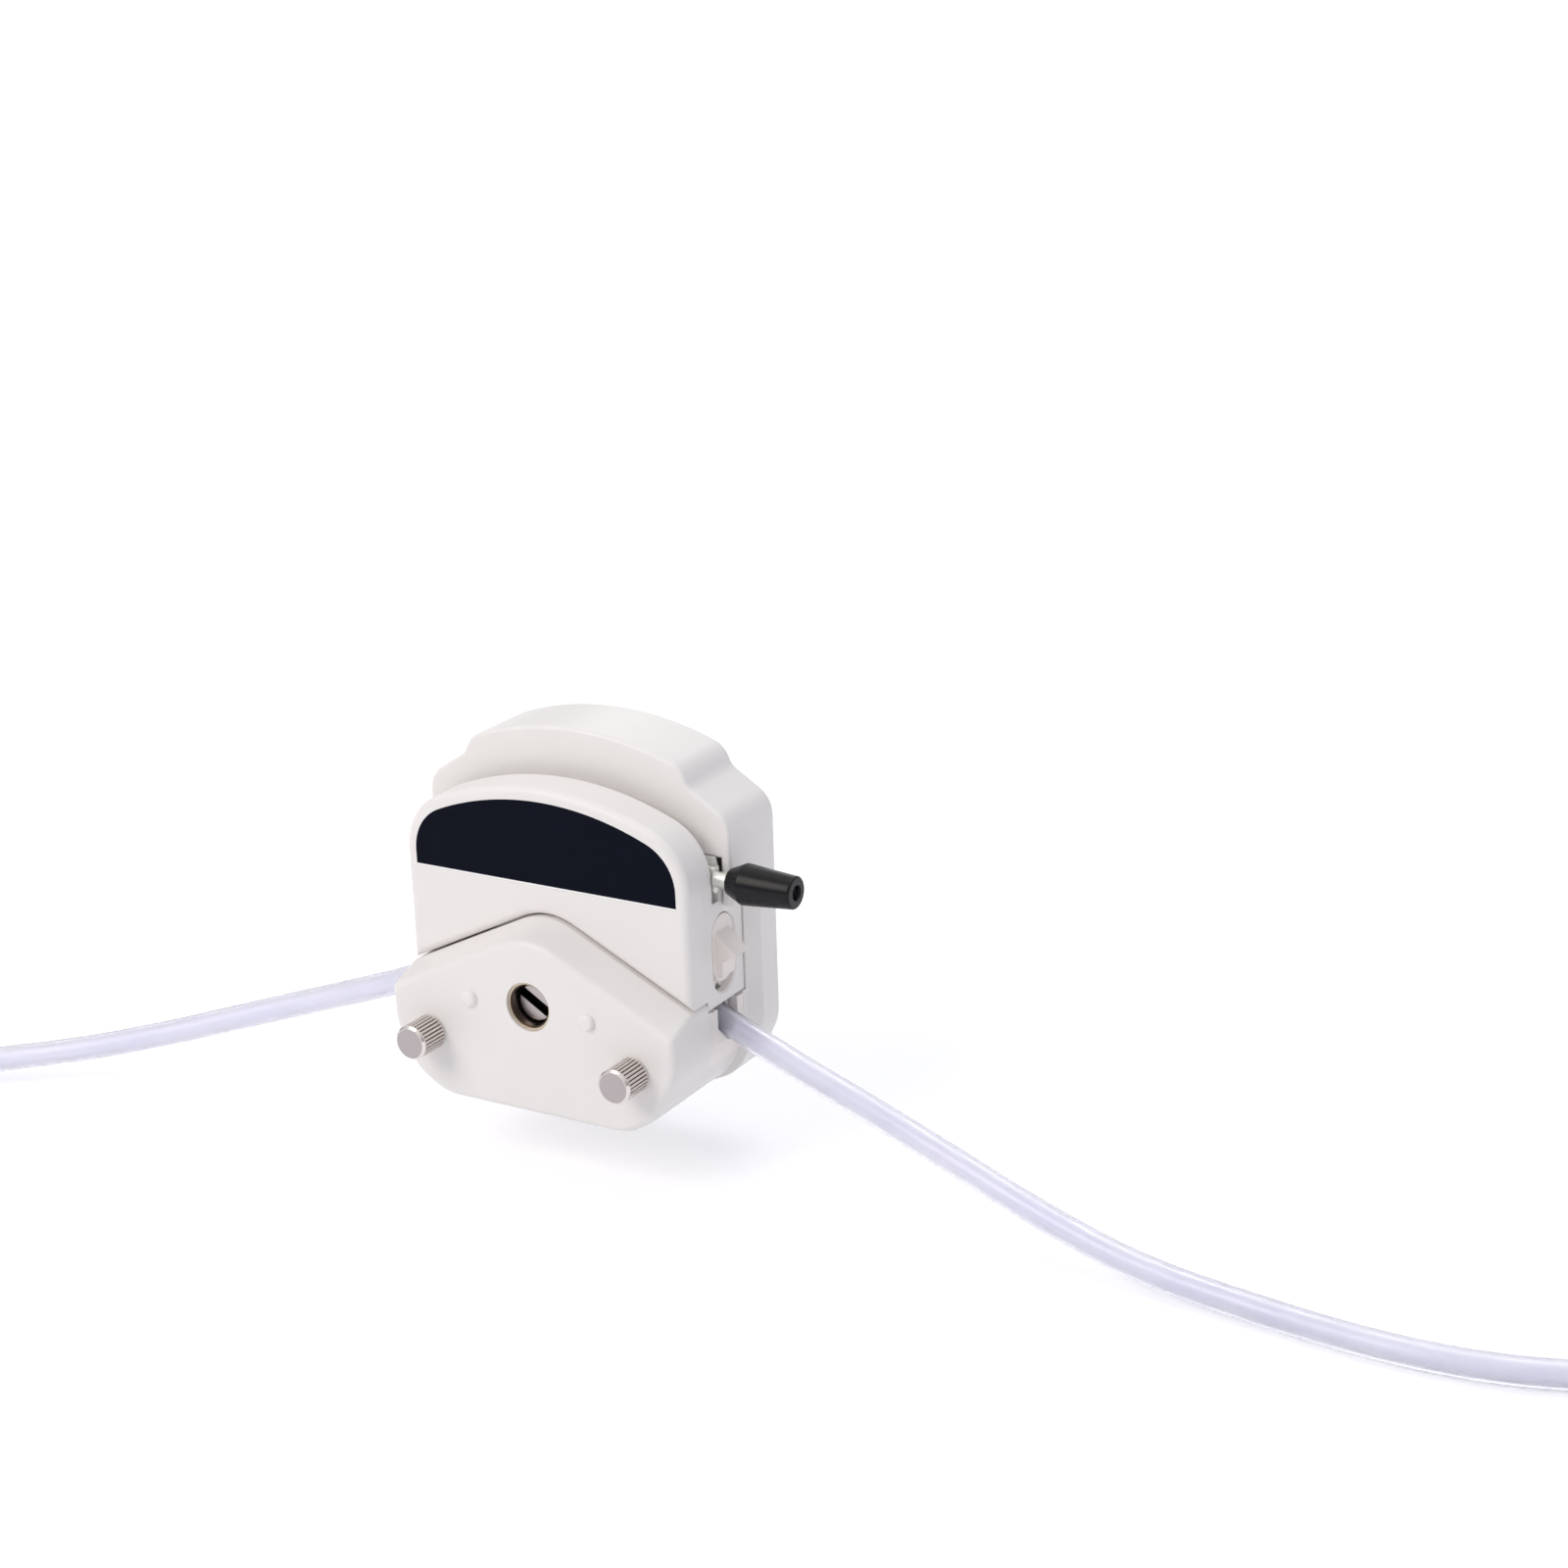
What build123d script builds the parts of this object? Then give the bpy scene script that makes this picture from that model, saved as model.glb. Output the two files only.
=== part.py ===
from build123d import *
from math import atan, cos, pi, radians, sin, sqrt, tan
import os

# Peristaltic pump head: a roller rotor squeezes a soft tube against the track of a
# block that a lever lifts off. Millimetres, +Z up. The origin is the rotor axis on the
# mounting face, and the head reaches towards -Y from there. Depths are given as the
# distance ahead of the mounting face. Angles round the rotor are counted from +Z.
os.makedirs("parts", exist_ok=True)

# ---- Driving dimensions ----
tube_od = 8.0
tube_wall = 1.6
occlusion = 0.3             # how much thinner than two walls the tube is pressed
roller_radius = 7.25
roller_orbit = 19.0
roller_count = 3
track_half_angle = 66.0
flare_radius = 17.0         # of the tube's axis, where it leaves the track
exit_slope = 24.0           # of the tube below the horizontal at both exits
lift = 8.0                  # travel of the block
block_half = 50.0           # half width of the block and the front plate
pivot_height = 39.4         # of the lever's axis
block_top = pivot_height + 24.8
block_dome = 99.0
block_corner = 19.0
block_face = 43.5           # ahead of the mounting face
plate_face = 55.0
hood_depth = 25.0
hood_half = 53.6
hood_top = 77.7
hood_dome = 100.0
body_bottom = -34.7
cant_start = -13.5          # lower flanks: heights, draw-in and rounding of the canted corner
cant_end = -28.2
cant_width = 6.9
foot_half = 0.66 * block_half
corner_rounding = 16.0
roof_corner = 2.5
rear_wall = 13.5
wall = 3.5                  # of the moulded shells
roof_edge = 2.9             # height of the roof-shaped parting at the flanks
roof_angle = 26.0
roof_crest = 21.0           # radius of its crest
roof_fall = 4.2             # how far the roof falls from the block to the front plate's rim
rim_rounding = 2.4          # of the block's and the plate's front rims
lever_reach = 77.5
cam_low = 6.0               # cam radius that holds the block down
thumb_spread = 36.4
thumb_height = -14.4
thumb_radius = 5.4
thumb_length = 11.0
locator_spread = 21.1
locator_height = -0.9
locator_radius = 2.6
shaft_radius = 6.0
slot_angle = -31.0          # of the coupling slot at rest
retainer_travel = 3.0       # down from rest, onto the tube
wedge_top = 22.1            # where the retainers' thumb wedges leave the block's sides
wedge_tip = 16.0
wedge_reach = 6.3

# ---- Clearances ----
running = 0.05              # radial, a shaft in its bore
sliding = 0.3               # between faces that pass each other
seam = 0.6                  # between the block and the plate below it
end_gap = 0.7               # between the rotor and the walls

# ---- Sizes that follow ----
squeezed = 2 * tube_wall - occlusion
tube_radius = tube_od / 2
bore_radius = tube_radius - tube_wall
roller_reach = roller_orbit + roller_radius
track_radius = roller_reach + squeezed
tube_arc = track_radius - tube_radius
disc_thickness = 2.6
roller_length = 1.875 * tube_od
rear_disc = rear_wall + end_gap
roller_start = rear_disc + disc_thickness
tube_plane = roller_start + roller_length / 2
front_disc = roller_start + roller_length
block_joint = front_disc + disc_thickness
plate_back = block_joint + end_gap
block_rear = rear_wall + 0.4
lever_gap = 5.0
web_start = hood_depth + lever_gap
pin_radius = 2.0
disc_radius = roller_orbit + pin_radius + 2.0
cavity_radius = roller_reach + 2.4
body_half = block_half + 0.5
plate_hollow_end = plate_face - wall
cover_hollow_end = block_face - wall

apron_start = hood_depth + sliding
apron_end = apron_start + 0.9
arm_start = apron_end + sliding
arm_thickness = web_start - 0.4 - arm_start
hub_radius = 7.0
web_top = pivot_height - hub_radius - 0.4
block_rear_top = 36.0
hood_cavity_top = block_rear_top + lift + 0.6
apron_top = hood_cavity_top + 0.6
hood_bottom = wedge_top + lift
cam_rise = lift / pi        # lift for each radian of the lever
cam_high = cam_low + lift
yoke_thickness = 4.0
yoke_half = 21.0
yoke_window_half = cam_high + 0.7
yoke_low = 3.0
yoke_high = pivot_height + cam_high + 3.3

bearing_bore = shaft_radius
bearing_outer = 10.5
bearing_width = 5.0
front_hole = 7.7
shaft_face = plate_face - 4.3


def ahead(distance):
    """Plane parallel to the mounting face; its normal points to the front."""
    return Plane.XZ.offset(distance)


def facing_back(distance):
    """The same plane turned round: its normal points to the back and its +Y is down."""
    return Plane(origin=(0, -distance, 0), x_dir=(1, 0, 0), z_dir=(0, 1, 0))


def at_pivot(distance):
    """Front plane with its origin on the lever's axis."""
    return Plane(origin=(0, -distance, pivot_height), x_dir=(1, 0, 0), z_dir=(0, -1, 0))


def around(radius, angle):
    """Point in a front plane at an angle from +Z, positive towards +X."""
    return (radius * sin(radians(angle)), radius * cos(radians(angle)))


# The tube's axis from the track's end to the exit, on the right side.
flare_centre = around(tube_arc + flare_radius, track_half_angle)
flare_end = (
    flare_centre[0] - around(flare_radius, exit_slope)[0],
    flare_centre[1] - around(flare_radius, exit_slope)[1],
)
exit_x = body_half + 0.1


def tube_height(x):
    """Height of the tube's axis on its straight way out."""
    return flare_end[1] - (x - flare_end[0]) * tan(radians(exit_slope))


exit_height = tube_height(exit_x)


def roof_height(x, drop):
    """Height of the sloped parting, before its crest is rounded."""
    return roof_edge - drop + (block_half - abs(x)) * tan(radians(roof_angle))


def roof_line(half, drop):
    """Both slopes of the roof and its round crest, left to right, for a BuildLine."""
    crest_x = roof_crest * sin(radians(roof_angle))
    crest_centre = roof_height(0, drop) - roof_crest / cos(radians(roof_angle))
    left = (-crest_x, roof_height(crest_x, drop))
    right = (crest_x, roof_height(crest_x, drop))
    Line((-half, roof_height(half, drop)), left)
    ThreePointArc(left, (0, crest_centre + roof_crest), right)
    Line(right, (half, roof_height(half, drop)))


def below_roof(rise):
    """Everything under the block's roof-shaped lower edge, raised by rise."""
    half = block_half + 5
    end = roof_height(half, -rise)
    with BuildSketch(Plane.XY) as outline:
        with BuildLine():
            roof_line(half, -rise)
            Polyline((half, end), (half, -60), (-half, -60), (-half, end))
        make_face()
    return outline.sketch


def block_outline(inset, bottom):
    """Flat dome on straight flanks, with large round corners between them."""
    half = block_half - inset
    apex = block_top - inset
    dome = block_dome - inset
    edge = apex - dome + sqrt(dome**2 - half**2)
    with BuildSketch(Plane.XY) as outline:
        with BuildLine():
            ThreePointArc((-half, edge), (0, apex), (half, edge))
            Polyline((half, edge), (half, bottom), (-half, bottom), (-half, edge))
        make_face()
        fillet(outline.vertices().group_by(Axis.Y)[-1], block_corner - inset)
    return outline.sketch


def lower_corners(half):
    """Right half of the canted lower edge, from the flank to the bottom."""
    return [(half, cant_start), (half - cant_width, cant_end), (foot_half, body_bottom)]


def mirrored(points):
    """The same points on the left side, in reverse order."""
    return [(-x, z) for x, z in reversed(points)]


def plate_outline(drop, inset):
    """Front plate: roof on top, straight flanks and canted lower corners."""
    half = body_half - inset
    right = [(half, roof_height(half, drop))]
    right += [(x - inset * 0.8, z + inset) for x, z in lower_corners(body_half)[1:]]
    right.insert(1, (half, lower_corners(half)[0][1]))
    with BuildSketch(Plane.XY) as outline:
        with BuildLine():
            roof_line(half, drop)
            Polyline(*right, *mirrored(right))
        make_face()
        fillet(outline.vertices().filter_by_position(Axis.Y, body_bottom - 1, cant_start + 1), corner_rounding)
        fillet(outline.vertices().filter_by_position(Axis.Y, cant_start + 5, 3), roof_corner)
    return outline.sketch


def lower_outline(top):
    """Lower body behind the front plate, flat on top."""
    right = [(body_half, top)] + lower_corners(body_half)
    with BuildSketch(Plane.XY) as outline:
        with BuildLine():
            Polyline(*right, *mirrored(right), right[0])
        make_face()
        fillet(outline.vertices().filter_by_position(Axis.Y, body_bottom - 1, cant_start + 1), corner_rounding)
    return outline.sketch


dome_edge_x = 37.5
dome_edge_z = hood_top - hood_dome + sqrt(hood_dome**2 - dome_edge_x**2)
notch = (40.2, 64.6)
shoulder_z = 56.2


def hood_outline():
    """Rear housing: flat dome, a concave step at each shoulder, and straight flanks."""
    right = [(dome_edge_x, dome_edge_z), notch, (hood_half, shoulder_z)] + lower_corners(hood_half)
    with BuildSketch(Plane.XY) as outline:
        with BuildLine():
            ThreePointArc((-dome_edge_x, dome_edge_z), (0, hood_top), (dome_edge_x, dome_edge_z))
            Polyline(*right, *mirrored(right))
        make_face()
        for height, radius in ((dome_edge_z, 8.0), (notch[1], 5.0), (shoulder_z, 9.0)):
            fillet(outline.vertices().filter_by_position(Axis.Y, height - 1, height + 1), radius)
        fillet(outline.vertices().filter_by_position(Axis.Y, body_bottom - 1, cant_start + 1), corner_rounding)
    return outline.sketch


def track_hollow():
    """The hollow under the block: track, flares and the sloping tube exits."""
    end = around(track_radius, track_half_angle)
    inner = flare_radius - tube_radius
    low = around(inner, exit_slope)
    mid = around(inner, (track_half_angle + exit_slope) / 2)
    flare_low = (flare_centre[0] - low[0], flare_centre[1] - low[1])
    flare_mid = (flare_centre[0] - mid[0], flare_centre[1] - mid[1])
    foot = flare_low[0] + (flare_low[1] + 1) / tan(radians(exit_slope))
    with BuildSketch(Plane.XY) as outline:
        with BuildLine():
            ThreePointArc((-end[0], end[1]), (0, track_radius), end)
            ThreePointArc(end, flare_mid, flare_low)
            Polyline(flare_low, (foot, -1), (-foot, -1), (-flare_low[0], flare_low[1]))
            ThreePointArc(
                (-flare_low[0], flare_low[1]), (-flare_mid[0], flare_mid[1]), (-end[0], end[1])
            )
        make_face()
    return outline.sketch


def save(piece, name):
    """Label a finished piece and write its STEP file."""
    piece.part.label = name
    export_step(piece.part, f"parts/{name}.step")


# ---- Positions shared by several pieces ----
plate_screws = [
    (side * share * block_half, body_bottom + height)
    for share, height in ((0.8, 10.4), (0.4, 5.4))
    for side in (-1, 1)
]
cover_screws_at = [
    (side * share * block_half, pivot_height + height)
    for share, height in ((0.892, -0.8), (0.62, 9.6))
    for side in (-1, 1)
]
yoke_screws_at = [(-0.79 * yoke_half, yoke_low + 4.6), (0.79 * yoke_half, yoke_low + 4.6)]
screw_grip = 11.0           # of the screws in their tapped holes
thumbs_at = [(-thumb_spread, thumb_height), (thumb_spread, thumb_height)]
locators_at = [(-locator_spread, locator_height), (locator_spread, locator_height)]
screw_core = 1.45           # radius of a tapped hole for the small screws
screw_free = 1.7
screw_head = 3.2
screw_head_start = 24.0     # plate screws' heads sit this far ahead
thumb_stud = 2.5            # radius of the thumbscrews' threaded end, behind the clip
thumb_shank = thumb_stud - 0.25
thumb_hole = thumb_stud + running
clip_depth = 5.0            # of the counterbore the clip sits in
clip_back = 1.5             # from the counterbore's floor to the clip's far side
clip_thickness = 0.8
clip_groove = thumb_stud - 0.5
clip_outer = 4.6
rod_radius = 2.0
rod_x = 35.0
rod_depth = 17.1
rod_bottom = thumb_height + thumb_hole + 1.3
rod_top = 30.0

lever_shaft_radius = 4.0
lever_flat = 3.2            # half width across the shaft's flats
bush_outer = 5.5
cam_thickness = 3.8
cam_start = plate_back + 0.1
cam_shaft_end = cam_start + 2.2
label_thickness = 0.5
label_margin = 3.8
label_low = 34.0

# Tube retainers: a flanged slider on each side, with a V jaw under it.
slider_inner = block_half - 5.4
slider_flange = 2.4
slider_width = 15.0
window_width = 12.0
window_low = 3.0
slider_low = window_low + retainer_travel + sliding
slider_high = web_top - 4.8
jaw_low = -9.0
wedge_half = 3.5
jaw_mouth = tube_radius + 0.6
upper_jaw_x = slider_inner + slider_flange / 2
lower_jaw_start = slider_inner + slider_flange + 0.6
lower_jaw_x = (lower_jaw_start + body_half) / 2
pocket_floor = -13.0
lower_jaw_width = 18.0
spring_height = 16.0
spring_length = 18.0
spring_width = 8.0
spring_bow = 1.6
jaw_pin_radius = 0.8
jaw_pin_length = 4.0        # of the pin beyond the jaw, in the body
jaw_pin_bite = 1.5          # of the pin in the jaw
jaw_pin_y = -tube_plane - 5.5
jaw_pin_z = cant_start - 1.1
lower_jaw_low = -21.0


# ---- Rear housing: back wall, hood over the block, and lower body round the rotor ----
with BuildPart() as rear_housing:
    with BuildSketch(ahead(0)):
        add(hood_outline())
    extrude(amount=rear_wall)
    # The hood overhangs the block; its cavity leaves the block room to rise.
    with BuildSketch(ahead(rear_wall)):
        add(hood_outline())
        with Locations((0, hood_bottom - 50)):
            Rectangle(2 * hood_half + 2, 100, mode=Mode.SUBTRACT)
        with Locations((0, hood_cavity_top - 25)):
            Rectangle(2 * (block_half + sliding), 50, mode=Mode.SUBTRACT)
    extrude(amount=hood_depth - rear_wall)
    fillet(
        rear_housing.faces().sort_by(Axis.Y)[0].outer_wire().edges().filter_by_position(
            Axis.Z, hood_bottom + 1, hood_top
        ),
        1.2,
    )
    # Lower body, open on top where the block comes down.
    with BuildSketch(ahead(rear_wall)):
        add(lower_outline(-0.4))
        Circle(cavity_radius, mode=Mode.SUBTRACT)
    extrude(amount=plate_back - rear_wall)
    # The flanks draw in from the hood's width to the block's below the hood.
    for side in (-1, 1):
        with BuildSketch(Plane.XY.offset(body_bottom)):
            with BuildLine():
                Polyline(
                    (side * (hood_half + 1), -rear_wall + 6),
                    (side * (hood_half + 1), -rear_wall - 1),
                    (side * body_half, -rear_wall - 1),
                    (side * body_half, -rear_wall),
                    (side * (hood_half + 1), -rear_wall + 6),
                )
            make_face()
        extrude(amount=hood_bottom - body_bottom, mode=Mode.SUBTRACT)
    # Tube exits: a pocket in each flank for the jaws, and a channel from the rotor.
    for side in (-1, 1):
        with BuildSketch(ahead(tube_plane - slider_width / 2 - 1.3)):
            with Locations((side * (slider_inner + 4), pocket_floor / 2 + 1)):
                Rectangle(10, -pocket_floor + 2)
        extrude(amount=slider_width + 2.6, mode=Mode.SUBTRACT)
        with BuildSketch(ahead(tube_plane - tube_radius - 1)):
            with BuildLine():
                Polyline(
                    (side * (cavity_radius - 4), 1),
                    (side * (slider_inner + 1), 1),
                    (side * (slider_inner + 1), tube_height(slider_inner + 1) - tube_radius - 1.4),
                    (side * (cavity_radius - 4), flare_end[1] - tube_radius - 1.2),
                    (side * (cavity_radius - 4), 1),
                )
            make_face()
        extrude(amount=tube_od + 2, mode=Mode.SUBTRACT)
        with BuildSketch(ahead(tube_plane - lower_jaw_width / 2)):
            with Locations((side * (lower_jaw_start + 2), lower_jaw_low / 2)):
                Rectangle(4, -lower_jaw_low)
        extrude(amount=lower_jaw_width, mode=Mode.SUBTRACT)
        with BuildSketch(Plane.YZ.offset(side * (lower_jaw_start - jaw_pin_length))):
            with Locations((jaw_pin_y, jaw_pin_z)):
                Circle(jaw_pin_radius)
        extrude(amount=side * jaw_pin_length, mode=Mode.SUBTRACT)
    # Bearing seat, shaft passage, seal seat and coupling recess on the axis.
    with Locations(ahead(rear_wall)):
        CounterBoreHole(shaft_radius + 1, bearing_outer, bearing_width, depth=rear_wall)
    with BuildSketch(ahead(0)):
        Circle(13)
    extrude(amount=2.5, mode=Mode.SUBTRACT)
    with BuildSketch(ahead(2.5)):
        Circle(9)
    extrude(amount=4, mode=Mode.SUBTRACT)
    # Thumbscrews, plate screws and the sockets for another unit's locators.
    with BuildSketch(ahead(0)):
        with Locations(*thumbs_at):
            Circle(thumb_hole)
        with Locations(*plate_screws):
            Circle(screw_free)
    extrude(amount=plate_back, mode=Mode.SUBTRACT)
    with BuildSketch(ahead(0)):
        with Locations(*thumbs_at):
            Circle(5.5)
    extrude(amount=clip_depth, mode=Mode.SUBTRACT)
    with BuildSketch(ahead(0)):
        with Locations(*plate_screws):
            Circle(screw_head)
    extrude(amount=screw_head_start, mode=Mode.SUBTRACT)
    with BuildSketch(ahead(0)):
        with Locations(*locators_at):
            Circle(locator_radius + 0.1)
    extrude(amount=2.0, mode=Mode.SUBTRACT)
    # Blind seats for the guide rods.
    with BuildSketch(Plane.XY):
        with Locations((-rod_x, -rod_depth), (rod_x, -rod_depth)):
            Circle(rod_radius)
    extrude(amount=rod_bottom, mode=Mode.SUBTRACT)
    # Cores that keep the thick mouldings even.
    with BuildSketch(ahead(0)):
        with Locations((0, 58)):
            RectangleRounded(64, 17, 5)
        with Locations((-38, 20), (38, 20)):
            RectangleRounded(20, 26, 4)
    extrude(amount=rear_wall - wall, mode=Mode.SUBTRACT)
save(rear_housing, "rear_housing")


# ---- Front plate: sloping roof, hollow behind, with bosses for what it carries ----
with BuildPart() as front_plate:
    with BuildSketch(ahead(plate_back)):
        add(plate_outline(seam, 0))
    extrude(amount=block_face - plate_back)
    with BuildSketch(ahead(block_face)):
        add(plate_outline(seam, 0))
    with BuildSketch(ahead(plate_face)):
        add(plate_outline(roof_fall + seam, 0))
    loft(ruled=True)
    fillet(front_plate.faces().sort_by(Axis.Y)[0].outer_wire().edges(), rim_rounding)
    with BuildSketch(ahead(plate_back)):
        add(plate_outline(roof_fall + seam + wall, wall))
    extrude(amount=plate_hollow_end - plate_back, mode=Mode.SUBTRACT)
    # Bosses: front bearing, thumbscrews, plate screws and the yoke's seat.
    with BuildSketch(ahead(plate_back)):
        Circle(bearing_outer + 3.5)
        with Locations(*thumbs_at):
            Circle(7)
        with Locations(*plate_screws):
            Circle(4.5)
        with Locations((0, yoke_low + 8)):
            Rectangle(2 * yoke_half + 4, 16)
        add(plate_outline(roof_fall + seam + 0.6, 0.6), mode=Mode.INTERSECT)
    extrude(amount=plate_hollow_end - plate_back)
    with BuildSketch(ahead(plate_back)):
        with Locations((0, yoke_low + 29.7)):
            Rectangle(2 * yoke_half + 0.6, 60)
        Circle(bearing_outer + 1.2, mode=Mode.SUBTRACT)
    extrude(amount=yoke_thickness + 0.05, mode=Mode.SUBTRACT)
    with BuildSketch(ahead(plate_back)):
        with Locations(*yoke_screws_at):
            Circle(screw_core)
        with Locations(*plate_screws):
            Circle(screw_core)
    extrude(amount=12, mode=Mode.SUBTRACT)
    with BuildSketch(ahead(plate_back)):
        with Locations(*thumbs_at):
            Circle(thumb_hole)
        Circle(front_hole)
    extrude(amount=plate_face - plate_back, mode=Mode.SUBTRACT)
    with BuildSketch(ahead(plate_back)):
        Circle(bearing_outer)
    extrude(amount=bearing_width + 0.2, mode=Mode.SUBTRACT)
    # Shallow domes that locate another unit stacked in front.
    with Locations(ahead(plate_face)):
        with Locations(*locators_at):
            Cylinder(locator_radius, 1.5, align=(Align.CENTER, Align.CENTER, Align.MIN))
    fillet(front_plate.faces().sort_by(Axis.Y)[:2].edges(), 1.2)
save(front_plate, "front_plate")


# ---- Track block: the track arch, the retainers' slides and the cover's back wall ----
with BuildPart() as track_block:
    with BuildSketch(ahead(web_start)):
        add(block_outline(0, 0))
        add(track_hollow(), mode=Mode.SUBTRACT)
    extrude(amount=block_joint - web_start)
    for start, end, top in ((hood_depth, web_start, web_top), (block_rear, hood_depth, block_rear_top)):
        with BuildSketch(ahead(start)):
            with Locations((0, top / 2)):
                Rectangle(2 * block_half, top)
            add(track_hollow(), mode=Mode.SUBTRACT)
        extrude(amount=end - start)
    # A thin apron ahead of the hood hides the room the block needs for its rise.
    with BuildSketch(ahead(apron_start)):
        add(block_outline(0, 0))
        with Locations((0, apron_top + 50)):
            Rectangle(2 * block_half + 2, 100, mode=Mode.SUBTRACT)
        with Locations((0, web_top - 51)):
            Rectangle(2 * block_half + 2, 100, mode=Mode.SUBTRACT)
    extrude(amount=apron_end - apron_start)
    # Each retainer slides in a T-shaped slot with a round-ended window to the outside.
    window_high = slider_high + sliding
    for side in (-1, 1):
        with BuildSketch(Plane.YZ.offset(side * slider_inner)):
            with Locations((-tube_plane, (window_high - 2) / 2)):
                Rectangle(slider_width + sliding, window_high + 2)
        extrude(amount=side * (slider_flange + 0.1), mode=Mode.SUBTRACT)
        with BuildSketch(Plane.YZ.offset(side * slider_inner)):
            with Locations((-tube_plane, (window_high + window_low) / 2)):
                SlotOverall(window_high - window_low, window_width, rotation=90)
        extrude(amount=side * (block_half - slider_inner + 1), mode=Mode.SUBTRACT)
        outside = track_block.faces().sort_by(Axis((0, 0, 0), (side, 0, 0)))[-1]
        chamfer(outside.inner_wires().edges(), 0.6)
        with BuildSketch(Plane.YZ.offset(side * slider_inner)):
            with Locations((-tube_plane, spring_height)):
                Rectangle(spring_width + 0.6, spring_length + 0.6)
        extrude(amount=-side * spring_bow, mode=Mode.SUBTRACT)
    # Bores for the guide rods, the lever shaft's bush and the cover's screws.
    with BuildSketch(Plane.XY):
        with Locations((-rod_x, -rod_depth), (rod_x, -rod_depth)):
            Circle(rod_radius + running)
    extrude(amount=block_rear_top, mode=Mode.SUBTRACT)
    with BuildSketch(ahead(web_start)):
        with Locations((0, pivot_height)):
            Circle(bush_outer)
    extrude(amount=block_joint - web_start, mode=Mode.SUBTRACT)
    with Locations(facing_back(web_start)):
        with Locations(*[(x, -z) for x, z in cover_screws_at]):
            CounterSinkHole(screw_free, 3.1, depth=block_joint - web_start, counter_sink_angle=90)
save(track_block, "track_block")


# ---- Top cover: domed shell in front of the track block, room inside for cam and yoke ----
with BuildPart() as top_cover:
    with BuildSketch(ahead(block_joint)):
        add(block_outline(0, 0))
        add(below_roof(0), mode=Mode.SUBTRACT)
    extrude(amount=block_face - block_joint)
    front_rim = top_cover.faces().sort_by(Axis.Y)[0].outer_wire().edges()
    fillet(front_rim.filter_by_position(Axis.Z, roof_edge + 10, block_top), rim_rounding)
    with BuildSketch(ahead(block_joint)):
        add(block_outline(wall, 0))
        add(below_roof(wall / cos(radians(roof_angle))), mode=Mode.SUBTRACT)
    extrude(amount=cover_hollow_end - block_joint, mode=Mode.SUBTRACT)
    with BuildSketch(ahead(block_joint)):
        with Locations(*cover_screws_at):
            Circle(4.2)
    extrude(amount=cover_hollow_end - block_joint)
    with BuildSketch(ahead(block_joint)):
        with Locations(*cover_screws_at):
            Circle(screw_core)
    extrude(amount=7, mode=Mode.SUBTRACT)
    # The yoke comes up through the cover's sloping floor.
    with BuildSketch(ahead(block_joint)):
        with Locations((0, pivot_height - cam_low)):
            Rectangle(2 * yoke_half + 2, 40)
    extrude(amount=cover_hollow_end - block_joint, mode=Mode.SUBTRACT)
    with BuildSketch(ahead(block_face - label_thickness)):
        add(block_outline(label_margin, label_low))
    extrude(amount=label_thickness, mode=Mode.SUBTRACT)
save(top_cover, "top_cover")


# ---- Label: plain dark panel let into the cover ----
with BuildPart() as label_plate:
    with BuildSketch(ahead(block_face - label_thickness)):
        add(block_outline(label_margin + 0.05, label_low + 0.05))
    extrude(amount=label_thickness)
save(label_plate, "label_plate")


# ---- Cam yoke: steel plate on the front plate; the cam climbs inside its window ----
with BuildPart() as cam_yoke:
    with BuildSketch(ahead(plate_back)):
        with Locations((0, (yoke_low + yoke_high) / 2)):
            Rectangle(2 * yoke_half, yoke_high - yoke_low)
        fillet(vertices().group_by(Axis.Y)[-1], 7)
        fillet(vertices().group_by(Axis.Y)[0], 2)
        Circle(bearing_outer + 1.5, mode=Mode.SUBTRACT)
        with Locations((0, pivot_height + lift / 2)):
            Rectangle(2 * yoke_window_half, cam_low + cam_high + 2 * running, mode=Mode.SUBTRACT)
    extrude(amount=yoke_thickness)
    with Locations(facing_back(plate_back)):
        with Locations(*[(x, -z) for x, z in yoke_screws_at]):
            CounterSinkHole(screw_free, 3.1, depth=yoke_thickness, counter_sink_angle=90)
save(cam_yoke, "cam_yoke")


def double_d():
    """End section of the lever's shaft: a circle with two flats."""
    with BuildSketch(Plane.XY) as outline:
        Circle(lever_shaft_radius)
        Rectangle(2 * lever_shaft_radius, 2 * lever_flat, mode=Mode.INTERSECT)
    return outline.sketch


# ---- Lever cam: constant breadth, so it holds the block both up and down ----
# Its two flanks are involutes: each radian of the lever lifts the block by cam_rise.
def cam_point(angle):
    """Point of the right flank whose outward normal stands at an angle from straight down."""
    reach = cam_low + cam_rise * angle
    return (
        reach * sin(angle) + cam_rise * cos(angle),
        -reach * cos(angle) + cam_rise * sin(angle),
    )


tip_angle = pi
for _ in range(8):
    tip_angle = pi - atan(cam_rise / (cam_low + cam_rise * tip_angle))

with BuildPart() as lever_cam:
    flank = [cam_point(tip_angle * step / 8) for step in range(9)]
    with BuildSketch(at_pivot(cam_start)):
        with BuildLine():
            Spline(*flank)
            Spline(*[(-x, z) for x, z in flank])
            Line((-flank[0][0], flank[0][1]), flank[0])
        make_face()
        add(double_d(), mode=Mode.SUBTRACT)
    extrude(amount=cam_thickness)
    with BuildSketch(at_pivot(cam_shaft_end)):
        Circle(4.8)
    extrude(amount=cam_thickness, mode=Mode.SUBTRACT)
save(lever_cam, "lever_cam")


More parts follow.
